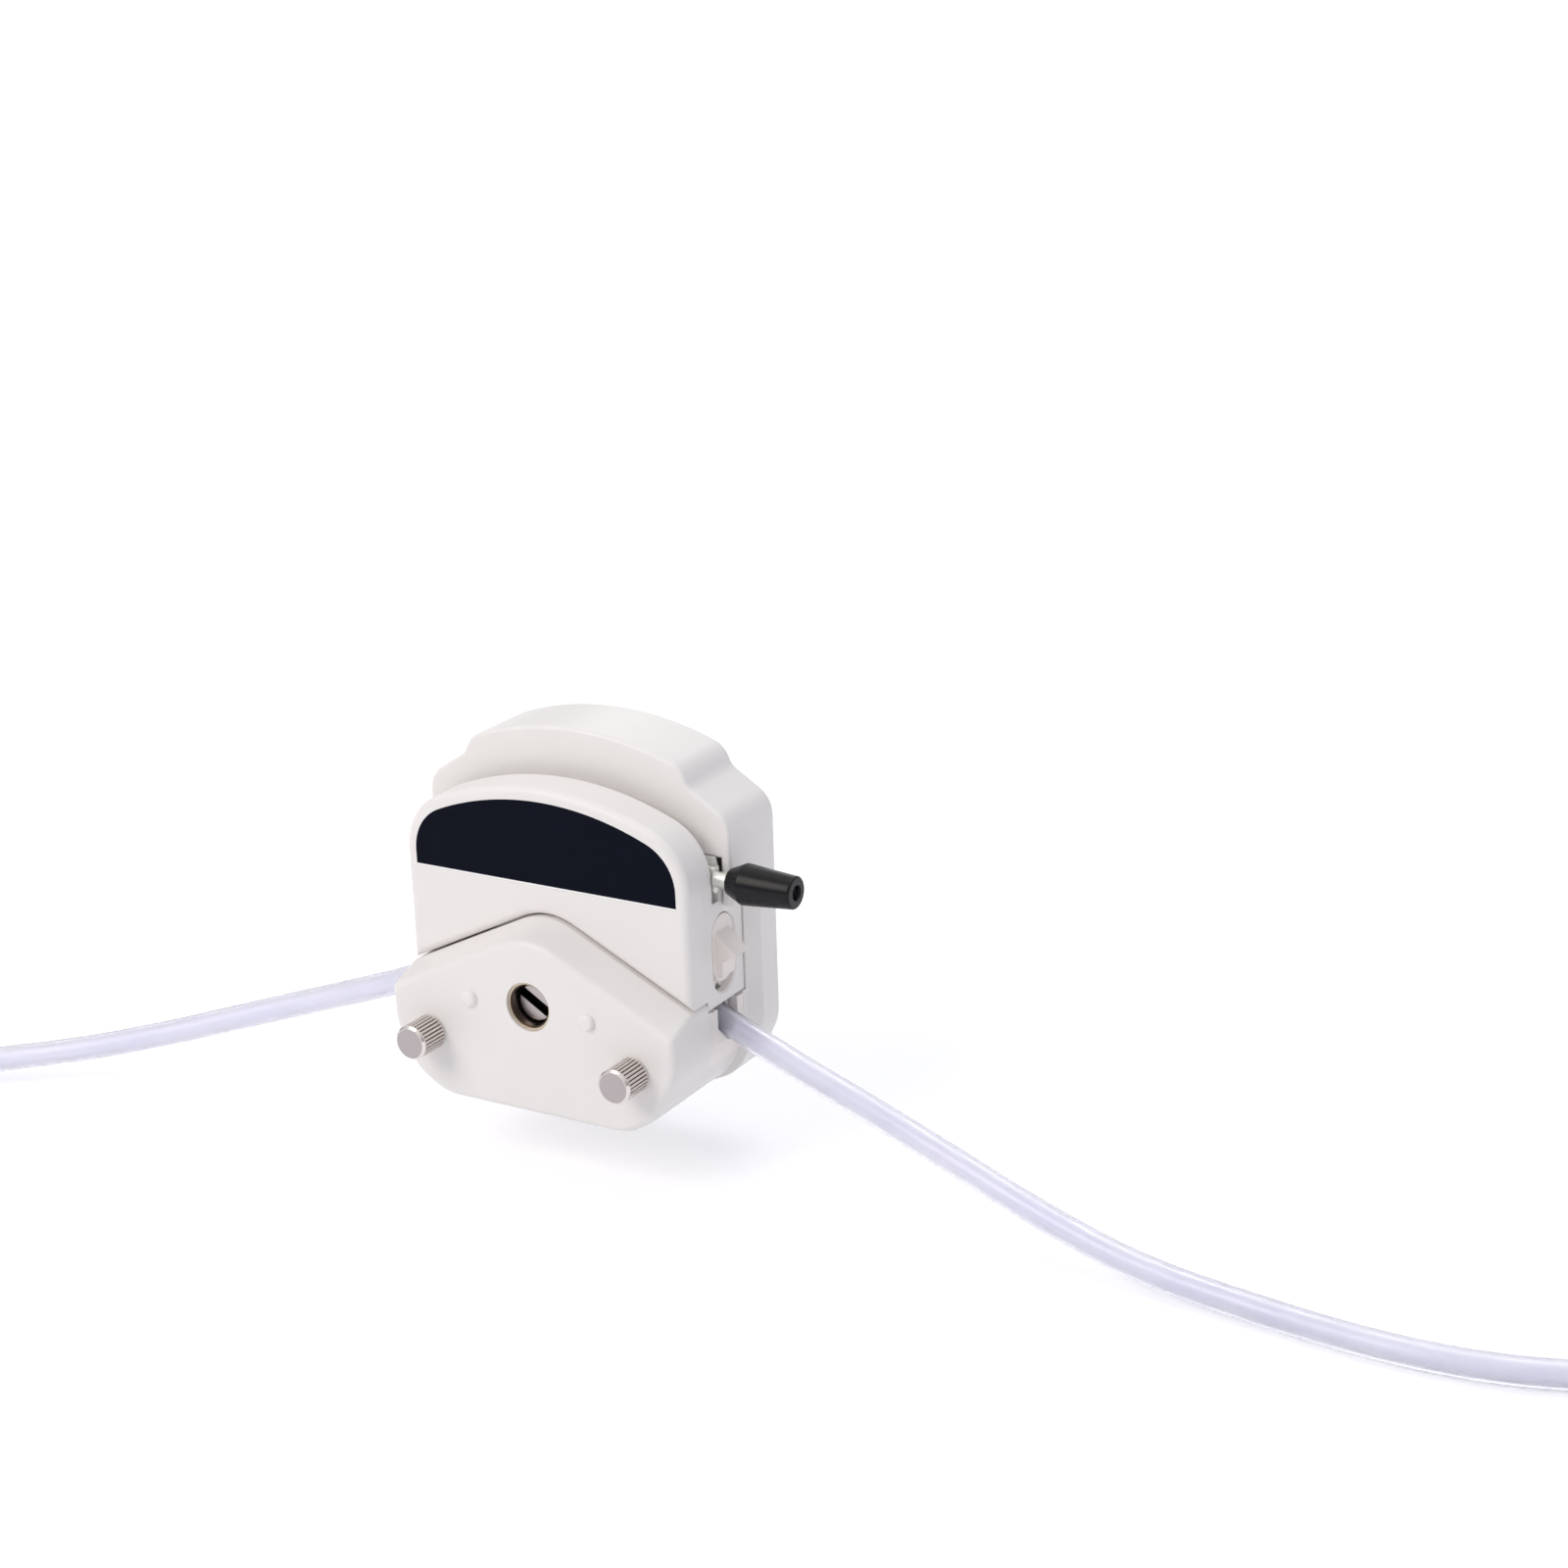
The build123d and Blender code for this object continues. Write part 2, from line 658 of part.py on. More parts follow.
# ---- Lever: shaft, bush, arm, grip and the screw that holds the cam ----
with BuildPart() as lever_shaft:
    with BuildSketch(at_pivot(arm_start)):
        Circle(lever_shaft_radius)
    extrude(amount=cam_shaft_end - arm_start)
    for start, end in ((arm_start, arm_start + arm_thickness), (cam_start, cam_shaft_end)):
        with BuildSketch(at_pivot(start)):
            Circle(lever_shaft_radius + 1)
            add(double_d(), mode=Mode.SUBTRACT)
        extrude(amount=end - start, mode=Mode.SUBTRACT)
    with BuildSketch(at_pivot(cam_shaft_end - 9)):
        Circle(screw_core)
    extrude(amount=9, mode=Mode.SUBTRACT)
save(lever_shaft, "lever_shaft")

with BuildPart() as lever_bush:
    with BuildSketch(at_pivot(web_start)):
        Circle(bush_outer)
        Circle(lever_shaft_radius + running, mode=Mode.SUBTRACT)
    extrude(amount=block_joint - web_start)
save(lever_bush, "lever_bush")

with BuildPart() as cam_screw:
    with BuildSketch(at_pivot(cam_shaft_end)):
        Circle(4.6)
    extrude(amount=1.5)
    fillet(cam_screw.edges().sort_by(Axis.Y)[0], 0.5)
    with BuildSketch(at_pivot(cam_shaft_end + 0.7)):
        RegularPolygon(1.3, 6)
    extrude(amount=1, mode=Mode.SUBTRACT)
    with BuildSketch(at_pivot(cam_shaft_end - 8)):
        Circle(screw_core)
    extrude(amount=8)
save(cam_screw, "cam_screw")

grip_start = 55.4
grip_shoulder = grip_start + 5.2
grip_small = 3.9
grip_large = 6.25
grip_end = 4.9
stud_radius = 2.0
arm_half = 4.0
stem_start = block_half + 0.7   # the arm is round from the block's flank to the grip
stem_radius = 2.5
dimple_radius = 2.4
arm_axis = Plane(
    origin=(0, -arm_start - arm_thickness / 2, pivot_height), x_dir=(0, -1, 0), z_dir=(1, 0, 0)
)

with BuildPart() as lever_arm:
    with BuildSketch(at_pivot(arm_start)):
        Circle(hub_radius)
        with Locations((stem_start / 2, 0)):
            Rectangle(stem_start, 2 * arm_half)
        add(double_d(), mode=Mode.SUBTRACT)
    extrude(amount=arm_thickness)
    fillet(lever_arm.edges().filter_by(Axis.X).filter_by(lambda edge: edge.length > 20), 0.8)
    with BuildSketch(arm_axis.offset(stem_start - 0.1)):
        Circle(stem_radius)
    extrude(amount=grip_start - stem_start + 0.1)
    with BuildSketch(arm_axis.offset(grip_start)):
        Circle(stud_radius)
    extrude(amount=lever_reach - grip_start - 4)
save(lever_arm, "lever_arm")

with BuildPart() as lever_grip:
    with BuildSketch(Plane(arm_axis.origin, x_dir=(1, 0, 0), z_dir=(0, -1, 0))):
        with BuildLine():
            Polyline(
                (grip_start, stud_radius),
                (grip_start, grip_small),
                (grip_shoulder, grip_large),
                (lever_reach, grip_end),
                (lever_reach, dimple_radius),
                (lever_reach - 1.6, dimple_radius - 0.5),
                (lever_reach - 1.6, 0),
                (lever_reach - 4, 0),
                (lever_reach - 4, stud_radius),
                close=True,
            )
        make_face()
        fillet(vertices().filter_by_position(Axis.Y, grip_small - 0.1, grip_large + 1), 0.7)
    revolve(axis=Axis(arm_axis.origin, (1, 0, 0)))
save(lever_grip, "lever_grip")


# ---- Rotor: slotted drive shaft, two discs with keys, and the roller pins ----
slot_width = 3.2
slot_depth = 3.0
core_radius = 8.0           # of the shaft between the discs
tang_start = 4.0            # behind the mounting face
tang_end = 6.8

with BuildPart() as rotor_shaft:
    with BuildSketch(ahead(-tang_start)):
        Circle(shaft_radius - 0.3)
    extrude(amount=tang_start + 2)
    with BuildSketch(ahead(2)):
        Circle(shaft_radius)
    extrude(amount=shaft_face - 2)
    chamfer(rotor_shaft.edges().sort_by(Axis.Y)[0], 0.4)
    with BuildSketch(ahead(roller_start)):
        Circle(core_radius)
    extrude(amount=roller_length)
    with BuildSketch(ahead(shaft_face - slot_depth)):
        with Locations(Rotation(0, 0, slot_angle)):
            Rectangle(3 * shaft_radius, slot_width)
    extrude(amount=slot_depth, mode=Mode.SUBTRACT)
    with BuildSketch(ahead(-tang_end)):
        with Locations(Rotation(0, 0, slot_angle)):
            Rectangle(2 * shaft_radius - 2, slot_width - 0.2)
    extrude(amount=tang_end - tang_start)
    # Keyways for the discs.
    for start in (rear_disc, front_disc):
        with BuildSketch(ahead(start)):
            with Locations((0, -shaft_radius)):
                Rectangle(2, 2.4)
        extrude(amount=disc_thickness, mode=Mode.SUBTRACT)
save(rotor_shaft, "rotor_shaft")

with BuildPart() as rotor_keys:
    for start in (rear_disc, front_disc):
        with BuildSketch(ahead(start)):
            with Locations((0, -shaft_radius)):
                Rectangle(2, 2.4)
        extrude(amount=disc_thickness)
save(rotor_keys, "rotor_keys")

for disc_name, start in (("rotor_disc_rear", rear_disc), ("rotor_disc_front", front_disc)):
    with BuildPart() as rotor_disc:
        with BuildSketch(ahead(start)):
            Circle(disc_radius)
            Circle(shaft_radius, mode=Mode.SUBTRACT)
            with Locations((0, -shaft_radius)):
                Rectangle(2, 2.4, mode=Mode.SUBTRACT)
            with Locations(*[around(roller_orbit, 360 / roller_count * n) for n in range(roller_count)]):
                Circle(pin_radius, mode=Mode.SUBTRACT)
            with Locations(
                *[around(roller_orbit - 5, 360 / roller_count * (n + 0.5)) for n in range(roller_count)]
            ):
                Circle(3.5, mode=Mode.SUBTRACT)
        extrude(amount=disc_thickness)
        chamfer(rotor_disc.edges().group_by(SortBy.LENGTH)[-1], 0.5)
    save(rotor_disc, disc_name)

with BuildPart() as roller_pins:
    with BuildSketch(ahead(rear_disc)):
        with Locations(*[around(roller_orbit, 360 / roller_count * n) for n in range(roller_count)]):
            Circle(pin_radius)
    extrude(amount=block_joint - rear_disc)
save(roller_pins, "roller_pins")

# Each roller is a steel sleeve with a flanged bush at both ends.
bush_radius = 4.0
flange = 0.5
for n in range(roller_count):
    place = Location(Vector(*around(roller_orbit, 360 / roller_count * n), 0))
    with BuildPart() as roller:
        with BuildSketch(ahead(roller_start + flange)):
            with Locations(place):
                Circle(roller_radius)
                Circle(bush_radius, mode=Mode.SUBTRACT)
        extrude(amount=roller_length - 2 * flange)
        chamfer(roller.edges().group_by(SortBy.LENGTH)[-1], 0.6)
    save(roller, f"roller_{n + 1}")
    with BuildPart() as roller_bushes:
        for start, length in ((roller_start + 0.05, flange - 0.05), (front_disc - flange, flange - 0.05)):
            with BuildSketch(ahead(start)):
                with Locations(place):
                    Circle(bush_radius + 1.2)
                    Circle(pin_radius + running, mode=Mode.SUBTRACT)
            extrude(amount=length)
        bush_length = roller_length / 2 - 1.5
        for start in (roller_start + 0.05, front_disc - bush_length):
            with BuildSketch(ahead(start)):
                with Locations(place):
                    Circle(bush_radius)
                    Circle(pin_radius + running, mode=Mode.SUBTRACT)
            extrude(amount=bush_length - 0.05)
    save(roller_bushes, f"roller_bushes_{n + 1}")


# ---- Shaft bearings, shaft seal, and the bush and lip ring in the front hole ----
for bearing_name, start in (
    ("rear_bearing", rear_wall - bearing_width),
    ("front_bearing", plate_back + 0.2),
):
    with BuildPart() as bearing:
        with BuildSketch(ahead(start)):
            Circle(bearing_outer)
            Circle(bearing_bore + running, mode=Mode.SUBTRACT)
        extrude(amount=bearing_width)
        # Shields sit a little below both rings.
        for face_start in (start, start + bearing_width - 0.4):
            with BuildSketch(ahead(face_start)):
                Circle(bearing_outer - 1.2)
                Circle(bearing_bore + 1.2, mode=Mode.SUBTRACT)
            extrude(amount=0.4, mode=Mode.SUBTRACT)
    save(bearing, bearing_name)

for ring_name, outer, inner, start, end in (
    ("shaft_seal", 9.0, shaft_radius + running, 2.5, 6.5),
    ("front_bush", front_hole, front_hole - 0.8, plate_face - 10, plate_face - 0.8),
    ("front_lip_ring", front_hole - 0.8, shaft_radius + 0.4, plate_face - 6, plate_face - 1.4),
):
    with BuildPart() as ring:
        with BuildSketch(ahead(start)):
            Circle(outer)
            Circle(inner, mode=Mode.SUBTRACT)
        extrude(amount=end - start)
    save(ring, ring_name)


# ---- Thumbscrews: straight-knurled heads, plain rims, captive behind with a clip ----
knurls = 30
thread_reach = 8.0
for side_name, side in (("left", -1), ("right", 1)):
    centre = (side * thumb_spread, thumb_height)
    with BuildPart() as thumbscrew:
        with BuildSketch(ahead(-thread_reach)):
            with Locations(centre):
                Circle(thumb_stud)
        extrude(amount=thread_reach + clip_depth)
        chamfer(thumbscrew.edges().sort_by(Axis.Y)[-1], 0.5)
        with BuildSketch(ahead(clip_depth - 1)):
            with Locations(centre):
                Circle(thumb_shank)
        extrude(amount=plate_face + 1 - clip_depth + 1)
        with BuildSketch(ahead(clip_depth - clip_back)):
            with Locations(centre):
                Circle(thumb_stud)
                Circle(thumb_shank, mode=Mode.SUBTRACT)
        extrude(amount=clip_back, mode=Mode.SUBTRACT)
        with BuildSketch(ahead(plate_face + 0.1)):
            with Locations(centre):
                Circle(thumb_radius)
        extrude(amount=thumb_length - 0.1)
        chamfer(thumbscrew.edges().sort_by(Axis.Y)[0], 0.5)
        with BuildSketch(ahead(plate_face + 0.8)):
            with Locations(centre):
                with PolarLocations(thumb_radius + 0.12, knurls):
                    Rectangle(0.7, 0.7, rotation=45, mode=Mode.ADD)
        extrude(amount=thumb_length - 2.8, mode=Mode.SUBTRACT)
        with BuildSketch(ahead(clip_depth - clip_back)):
            with Locations(centre):
                Circle(thumb_stud)
                Circle(clip_groove, mode=Mode.SUBTRACT)
        extrude(amount=clip_thickness, mode=Mode.SUBTRACT)
    save(thumbscrew, f"thumbscrew_{side_name}")
    with BuildPart() as thumb_clip:
        with BuildSketch(ahead(clip_depth - clip_back)):
            with Locations(centre):
                Circle(clip_outer)
                Circle(clip_groove, mode=Mode.SUBTRACT)
                with Locations((0, -clip_outer + 0.6)):
                    Rectangle(1.5 * clip_groove, 6.0, mode=Mode.SUBTRACT)
        extrude(amount=clip_thickness)
    save(thumb_clip, f"thumb_clip_{side_name}")


# ---- Guide rods the block slides on ----
with BuildPart() as guide_rods:
    with BuildSketch(Plane.XY.offset(rod_bottom)):
        with Locations((-rod_x, -rod_depth), (rod_x, -rod_depth)):
            Circle(rod_radius)
    extrude(amount=rod_top - rod_bottom)
    chamfer(guide_rods.edges().group_by(Axis.Z)[-1], 0.4)
save(guide_rods, "guide_rods")


# ---- Screws: countersunk ones flush with the faces behind them, and cap heads ----
with BuildPart() as cover_screws:
    with BuildSketch(ahead(web_start)):
        with Locations(*cover_screws_at):
            Circle(2.9)
    extrude(amount=1.45, taper=45)
    with BuildSketch(ahead(web_start)):
        with Locations(*cover_screws_at):
            Circle(screw_core)
    extrude(amount=10)
save(cover_screws, "cover_screws")

with BuildPart() as yoke_screws:
    with BuildSketch(ahead(plate_back)):
        with Locations(*yoke_screws_at):
            Circle(2.9)
    extrude(amount=1.45, taper=45)
    with BuildSketch(ahead(plate_back)):
        with Locations(*yoke_screws_at):
            Circle(screw_core)
    extrude(amount=screw_grip)
save(yoke_screws, "yoke_screws")

with BuildPart() as housing_screws:
    with BuildSketch(ahead(screw_head_start - 3)):
        with Locations(*plate_screws):
            Circle(2.8)
            RegularPolygon(1.4, 6, mode=Mode.SUBTRACT)
    extrude(amount=1.8)
    with BuildSketch(ahead(screw_head_start - 1.2)):
        with Locations(*plate_screws):
            Circle(2.8)
    extrude(amount=1.2)
    with BuildSketch(ahead(screw_head_start)):
        with Locations(*plate_screws):
            Circle(screw_core)
    extrude(amount=plate_back - screw_head_start + screw_grip)
save(housing_screws, "housing_screws")


def jaw_apex(thickness, clearance):
    """From the sloping tube's axis to the apex of a square V plate that just clears it."""
    slope = radians(exit_slope)
    ellipse = tube_radius * sqrt(1 + 1 / cos(slope) ** 2)
    return ellipse + thickness / 2 * tan(slope) + clearance


# ---- Tube retainers: slider with a thumb wedge outside and an upper V jaw below ----
def jaw_notch(apex, reach, mouth, up):
    """V whose flanks open at 45 degrees and then run straight, in the side plane."""
    with BuildSketch(Plane.XY) as outline:
        with BuildLine():
            Polyline(
                (-tube_plane, apex),
                (-tube_plane - mouth, apex + up * mouth),
                (-tube_plane - mouth, reach),
                (-tube_plane + mouth, reach),
                (-tube_plane + mouth, apex + up * mouth),
                close=True,
            )
        make_face()
    return outline.sketch


lower_jaw_thickness = body_half - 0.1 - lower_jaw_start
upper_apex = tube_height(upper_jaw_x) + jaw_apex(slider_flange, 0.4) + retainer_travel
lower_apex = tube_height(lower_jaw_x) - jaw_apex(lower_jaw_thickness, 0.05)
with BuildPart() as retainer_right:
    with BuildSketch(Plane.YZ.offset(slider_inner)):
        with Locations((-tube_plane, (slider_high + jaw_low) / 2)):
            Rectangle(slider_width, slider_high - jaw_low)
        add(jaw_notch(upper_apex, jaw_low - 1, jaw_mouth, -1), mode=Mode.SUBTRACT)
    extrude(amount=slider_flange)
    with BuildSketch(Plane.YZ.offset(slider_inner + slider_flange)):
        with Locations((-tube_plane, (slider_low + slider_high) / 2)):
            SlotOverall(slider_high - slider_low, window_width - 2 * sliding, rotation=90)
    extrude(amount=block_half - 0.4 - slider_inner - slider_flange)
    # Thumb wedge: a long slope above, a short one below.
    with BuildSketch(ahead(tube_plane - wedge_half)):
        with BuildLine():
            Polyline(
                (block_half - 2, wedge_top + 2 * (wedge_top - wedge_tip) / wedge_reach),
                (block_half + wedge_reach, wedge_tip),
                (block_half + 1.6, 13.2),
                (block_half + 1.2, 8.5),
                (block_half - 2, 7.5),
                close=True,
            )
        make_face()
    extrude(amount=2 * wedge_half)
save(retainer_right, "retainer_right")

with BuildPart() as retainer_left:
    mirror(retainer_right.part, about=Plane.YZ)
save(retainer_left, "retainer_left")

with BuildPart() as spring_right:
    with BuildSketch(ahead(tube_plane - spring_width / 2)):
        with BuildLine():
            inner_x = slider_inner - spring_bow + 0.05
            outer_x = slider_inner - 0.1
            ends = (spring_height - spring_length / 2, spring_height + spring_length / 2)
            ThreePointArc((inner_x, ends[0]), (outer_x - 0.4, spring_height), (inner_x, ends[1]))
            Line((inner_x, ends[1]), (inner_x + 0.4, ends[1]))
            ThreePointArc((inner_x + 0.4, ends[1]), (outer_x, spring_height), (inner_x + 0.4, ends[0]))
            Line((inner_x + 0.4, ends[0]), (inner_x, ends[0]))
        make_face()
    extrude(amount=spring_width)
save(spring_right, "retainer_spring_right")

with BuildPart() as spring_left:
    mirror(spring_right.part, about=Plane.YZ)
save(spring_left, "retainer_spring_left")

# ---- Lower jaws: fixed V plates under the tube, each held by a pin ----
with BuildPart() as lower_jaw_right:
    with BuildSketch(Plane.YZ.offset(lower_jaw_start)):
        with Locations((-tube_plane, (lower_jaw_low - 1) / 2)):
            Rectangle(lower_jaw_width, -1 - lower_jaw_low)
        add(jaw_notch(lower_apex, 1, jaw_mouth + 1, 1), mode=Mode.SUBTRACT)
    extrude(amount=lower_jaw_thickness)
    with BuildSketch(Plane.YZ.offset(lower_jaw_start)):
        with Locations((jaw_pin_y, jaw_pin_z)):
            Circle(jaw_pin_radius)
    extrude(amount=jaw_pin_bite, mode=Mode.SUBTRACT)
    # Its lower end is canted like the flank it lies flush with.
    with BuildSketch(ahead(tube_plane - lower_jaw_width)):
        add(lower_outline(0))
    extrude(amount=2 * lower_jaw_width, mode=Mode.INTERSECT)
save(lower_jaw_right, "lower_jaw_right")

with BuildPart() as lower_jaw_left:
    mirror(lower_jaw_right.part, about=Plane.YZ)
save(lower_jaw_left, "lower_jaw_left")

with BuildPart() as jaw_pins:
    for side in (-1, 1):
        with BuildSketch(Plane.YZ.offset(side * (lower_jaw_start - jaw_pin_length))):
            with Locations((jaw_pin_y, jaw_pin_z)):
                Circle(jaw_pin_radius)
        extrude(amount=side * (jaw_pin_length + jaw_pin_bite))
save(jaw_pins, "jaw_pins")


# ---- Tube inside the head: round on its way in and out, pressed flat by the top roller ----
def roller_gap(angle):
    """Room between the track and the top roller, at an angle from the roller's centre."""
    a = radians(angle)
    surface = roller_orbit * cos(a) + sqrt(roller_radius**2 - (roller_orbit * sin(a)) ** 2)
    return track_radius - surface


press_angle = 26.0          # the tube is round beyond it
press_steps = [0.0, 6.0, 12.0, 17.0]
sections = [(angle, roller_gap(angle) - 0.06) for angle in press_steps]
sections += [(20.0, tube_od - 0.3), (press_angle, tube_od)]
sections = [(-a, t) for a, t in reversed(sections[1:])] + sections

with BuildPart() as tube_in_head:
    for angle, thickness in sections:
        width = thickness + pi * (tube_od - thickness) / 2
        centre = around(track_radius - thickness / 2 - 0.02, angle)
        if thickness == tube_od:
            centre = around(tube_arc, angle)
        section_plane = Plane(
            origin=(centre[0], -tube_plane, centre[1]),
            x_dir=(0, 1, 0),
            z_dir=(cos(radians(angle)), 0, -sin(radians(angle))),
        )
        with BuildSketch(section_plane):
            Ellipse(width / 2, thickness / 2)
    loft()
    for side in (-1, 1):
        begin = around(tube_arc, side * press_angle)
        with BuildLine(ahead(tube_plane)) as way_out:
            bend = JernArc(
                begin,
                (side * cos(radians(press_angle)), -sin(radians(press_angle))),
                tube_arc,
                -side * (track_half_angle - press_angle),
            )
            flare = JernArc(bend @ 1, bend % 1, flare_radius, side * (track_half_angle - exit_slope))
            Line(flare @ 1, (side * exit_x, exit_height))
        with BuildSketch(Plane(origin=way_out.line @ 0, z_dir=way_out.line % 0)):
            Circle(tube_radius)
            Circle(bore_radius, mode=Mode.SUBTRACT)
        sweep(path=way_out.line)
save(tube_in_head, "tube_in_head")

# ---- Free tube on each side: routes of points, with arcs at the turns ----
start_point = (exit_x, -tube_plane, exit_height)
tube_right_route = [
    start_point,
    (exit_x + 16, -tube_plane, exit_height - 16 * tan(radians(exit_slope))),
    (96, -24.6, -24.6),
    (128, -27, -35.5),
    (160, -33, -44),
    (190, -38.5, -49.3),
    (222, -42, -51),
    (254, -46, -51.2),
    (284, -46, -51),
    (311, -39, -51),
    (334, -29, -51),
]
tube_left_route = [
    (-exit_x, -tube_plane, exit_height),
    (-exit_x - 16, -tube_plane, exit_height - 16 * tan(radians(exit_slope))),
    (-98, -30.5, -24),
    (-126, -41, -32),
    (-150, -52, -38.5),
    (-174, -64, -43.5),
    (-199, -76, -47),
    (-222, -89, -49.5),
]


def turn_radii(route):
    """Arc radius for each corner: 0.45 of the shorter run over the tangent of half the turn."""
    radii = []
    for before, corner, after in zip(route, route[1:], route[2:]):
        run_in = Vector(corner) - Vector(before)
        run_out = Vector(after) - Vector(corner)
        turn = radians(run_in.get_angle(run_out))
        radii.append(0.45 * min(run_in.length, run_out.length) / tan(turn / 2))
    return radii


for tube_name, route in (("tube_right", tube_right_route), ("tube_left", tube_left_route)):
    radii = turn_radii(route)
    with BuildPart() as free_tube:
        with BuildLine() as way:
            FilletPolyline(*route, radius=radii)
        with BuildSketch(Plane(origin=way.line @ 0, z_dir=way.line % 0)):
            Circle(tube_radius)
            Circle(bore_radius, mode=Mode.SUBTRACT)
        sweep(path=way.line)
    save(free_tube, tube_name)
    length = way.wire().length
    section_area = pi * (tube_radius**2 - bore_radius**2)
    print(tube_name, "length", round(length, 1), "radii", [round(r, 1) for r in radii])
    print("  volume", round(free_tube.part.volume), "expected", round(section_area * length))
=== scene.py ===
import math

import bpy
from mathutils import Matrix, Vector


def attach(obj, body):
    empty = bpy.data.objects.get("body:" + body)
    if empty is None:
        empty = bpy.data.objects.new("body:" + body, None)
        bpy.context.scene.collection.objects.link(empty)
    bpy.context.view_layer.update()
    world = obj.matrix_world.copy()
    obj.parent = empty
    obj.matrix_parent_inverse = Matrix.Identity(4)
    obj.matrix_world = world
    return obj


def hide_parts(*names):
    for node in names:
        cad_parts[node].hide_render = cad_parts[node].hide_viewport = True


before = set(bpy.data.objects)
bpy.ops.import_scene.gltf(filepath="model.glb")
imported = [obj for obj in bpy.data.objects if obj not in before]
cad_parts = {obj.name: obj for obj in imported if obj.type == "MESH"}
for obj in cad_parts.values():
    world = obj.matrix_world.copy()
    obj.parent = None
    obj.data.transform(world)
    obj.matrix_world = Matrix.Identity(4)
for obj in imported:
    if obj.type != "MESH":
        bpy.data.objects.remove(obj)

# Peristaltic pump head, dressed for looks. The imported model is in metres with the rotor's
# axis along Y; sizes below are named in millimetres and turned to metres with mm.
mm = 0.001
scene = bpy.context.scene
scene.view_settings.view_transform = "Standard"
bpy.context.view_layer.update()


# ---- Camera ----
# It stands in front of the head, to its right and above it, and turns about its own axis
# by the small roll.
camera_place = Vector((485.83, -721.39, 340.42)) * mm
camera_azimuth = math.radians(30.68)
camera_elevation = math.radians(18.42)
camera_roll = math.radians(-1.82)

back = Vector(
    (
        math.sin(camera_azimuth) * math.cos(camera_elevation),
        -math.cos(camera_azimuth) * math.cos(camera_elevation),
        math.sin(camera_elevation),
    )
)
level_right = Vector((math.cos(camera_azimuth), math.sin(camera_azimuth), 0))
level_up = back.cross(level_right)
right = level_right * math.cos(camera_roll) + level_up * math.sin(camera_roll)
axes = Matrix((right, back.cross(right), back)).transposed().to_4x4()
camera = bpy.data.objects.new("camera", bpy.data.cameras.new("camera"))
camera.data.lens = 68.86
camera.data.sensor_width = 36
camera.matrix_world = Matrix.Translation(camera_place) @ axes
scene.collection.objects.link(camera)
scene.camera = camera


# ---- Free tube on both sides ----
# Pump tube of platinum-cured silicone, extruded, 8 mm outside and 4.8 mm inside. It leaves
# the jaws at a slope, sags to the table and lies there. Both far ends are plain cuts, as
# such tube is bought off the reel.
tube_od = 8.0
tube_wall = 1.6
least_bore = 0.05           # half height of the bore where the tube is pressed flat
tube_sides = 48
exit_x = 50.6
tube_y = -24.3
exit_z = -6.85
haze_size = 18.0
ripple_size = 5.0


def linear(code):
    """An sRGB hex value as linear RGBA."""
    channels = [int(code[i : i + 2], 16) / 255 for i in (0, 2, 4)]
    return (*(c / 12.92 if c <= 0.04045 else ((c + 0.055) / 1.055) ** 2.4 for c in channels), 1)


def add_node(tree, kind, links=None, **settings):
    """Adds a node; settings name its attributes or inputs, links feed its inputs."""
    node = tree.nodes.new(kind)
    for name, value in settings.items():
        if hasattr(node, name):
            setattr(node, name, value)
        else:
            node.inputs[name.replace("_", " ")].default_value = value
    for socket, source in (links or {}).items():
        tree.links.new(source, node.inputs[socket])
    return node


def new_material(name, **surface):
    """A material, its tree and its shader; surface sets the shader's own sockets."""
    material = bpy.data.materials.new(name)
    material.use_nodes = True
    shader = material.node_tree.nodes["Principled BSDF"]
    for socket, value in surface.items():
        shader.inputs[socket.replace("_", " ")].default_value = value
    return material, material.node_tree, shader


# Silicone: milky and see-through at once, so the bore shows as a bright streak. The haze
# drifts along the tube and the skin has the faint ripple that extruding leaves.
silicone, tree, shader = new_material(
    "silicone_extruded_milky",
    Roughness=0.23,
    IOR=1.41,
    Transmission_Weight=0.81,
    Subsurface_Weight=0.37,
    Subsurface_Scale=3.0 * mm,
    Subsurface_Radius=(1.0, 0.95, 1.1),
)
coordinates = add_node(tree, "ShaderNodeTexCoord")
haze = add_node(
    tree,
    "ShaderNodeTexNoise",
    {"Vector": coordinates.outputs["Object"]},
    Scale=1 / (haze_size * mm),
    Detail=3,
)
haze_colour = add_node(
    tree,
    "ShaderNodeMix",
    {"Factor": haze.outputs["Fac"]},
    data_type="RGBA",
    A=linear("EDEDFA"),
    B=linear("F9F9FF"),
)
tree.links.new(haze_colour.outputs["Result"], shader.inputs["Base Color"])
ripple = add_node(
    tree,
    "ShaderNodeTexNoise",
    {"Vector": coordinates.outputs["Object"]},
    Scale=1 / (ripple_size * mm),
    Detail=2,
)
skin = add_node(
    tree, "ShaderNodeBump", {"Height": ripple.outputs["Fac"]}, Strength=0.3, Distance=0.1 * mm
)
tree.links.new(skin.outputs["Normal"], shader.inputs["Normal"])


def spline_points(name, route):
    """Points along the smooth spline that has the route's points as its control points."""
    curve = bpy.data.curves.new(name, "CURVE")
    curve.dimensions = "3D"
    curve.resolution_u = 16
    spline = curve.splines.new("NURBS")
    spline.points.add(len(route) - 1)
    for point, place in zip(spline.points, route):
        point.co = (*(Vector(place) * mm), 1)
    spline.order_u = 3
    spline.use_endpoint_u = True
    holder = bpy.data.objects.new(name, curve)
    line = bpy.data.meshes.new_from_object(holder)
    points = [vertex.co.copy() for vertex in line.vertices]
    bpy.data.objects.remove(holder)
    bpy.data.curves.remove(curve)
    bpy.data.meshes.remove(line)
    return points


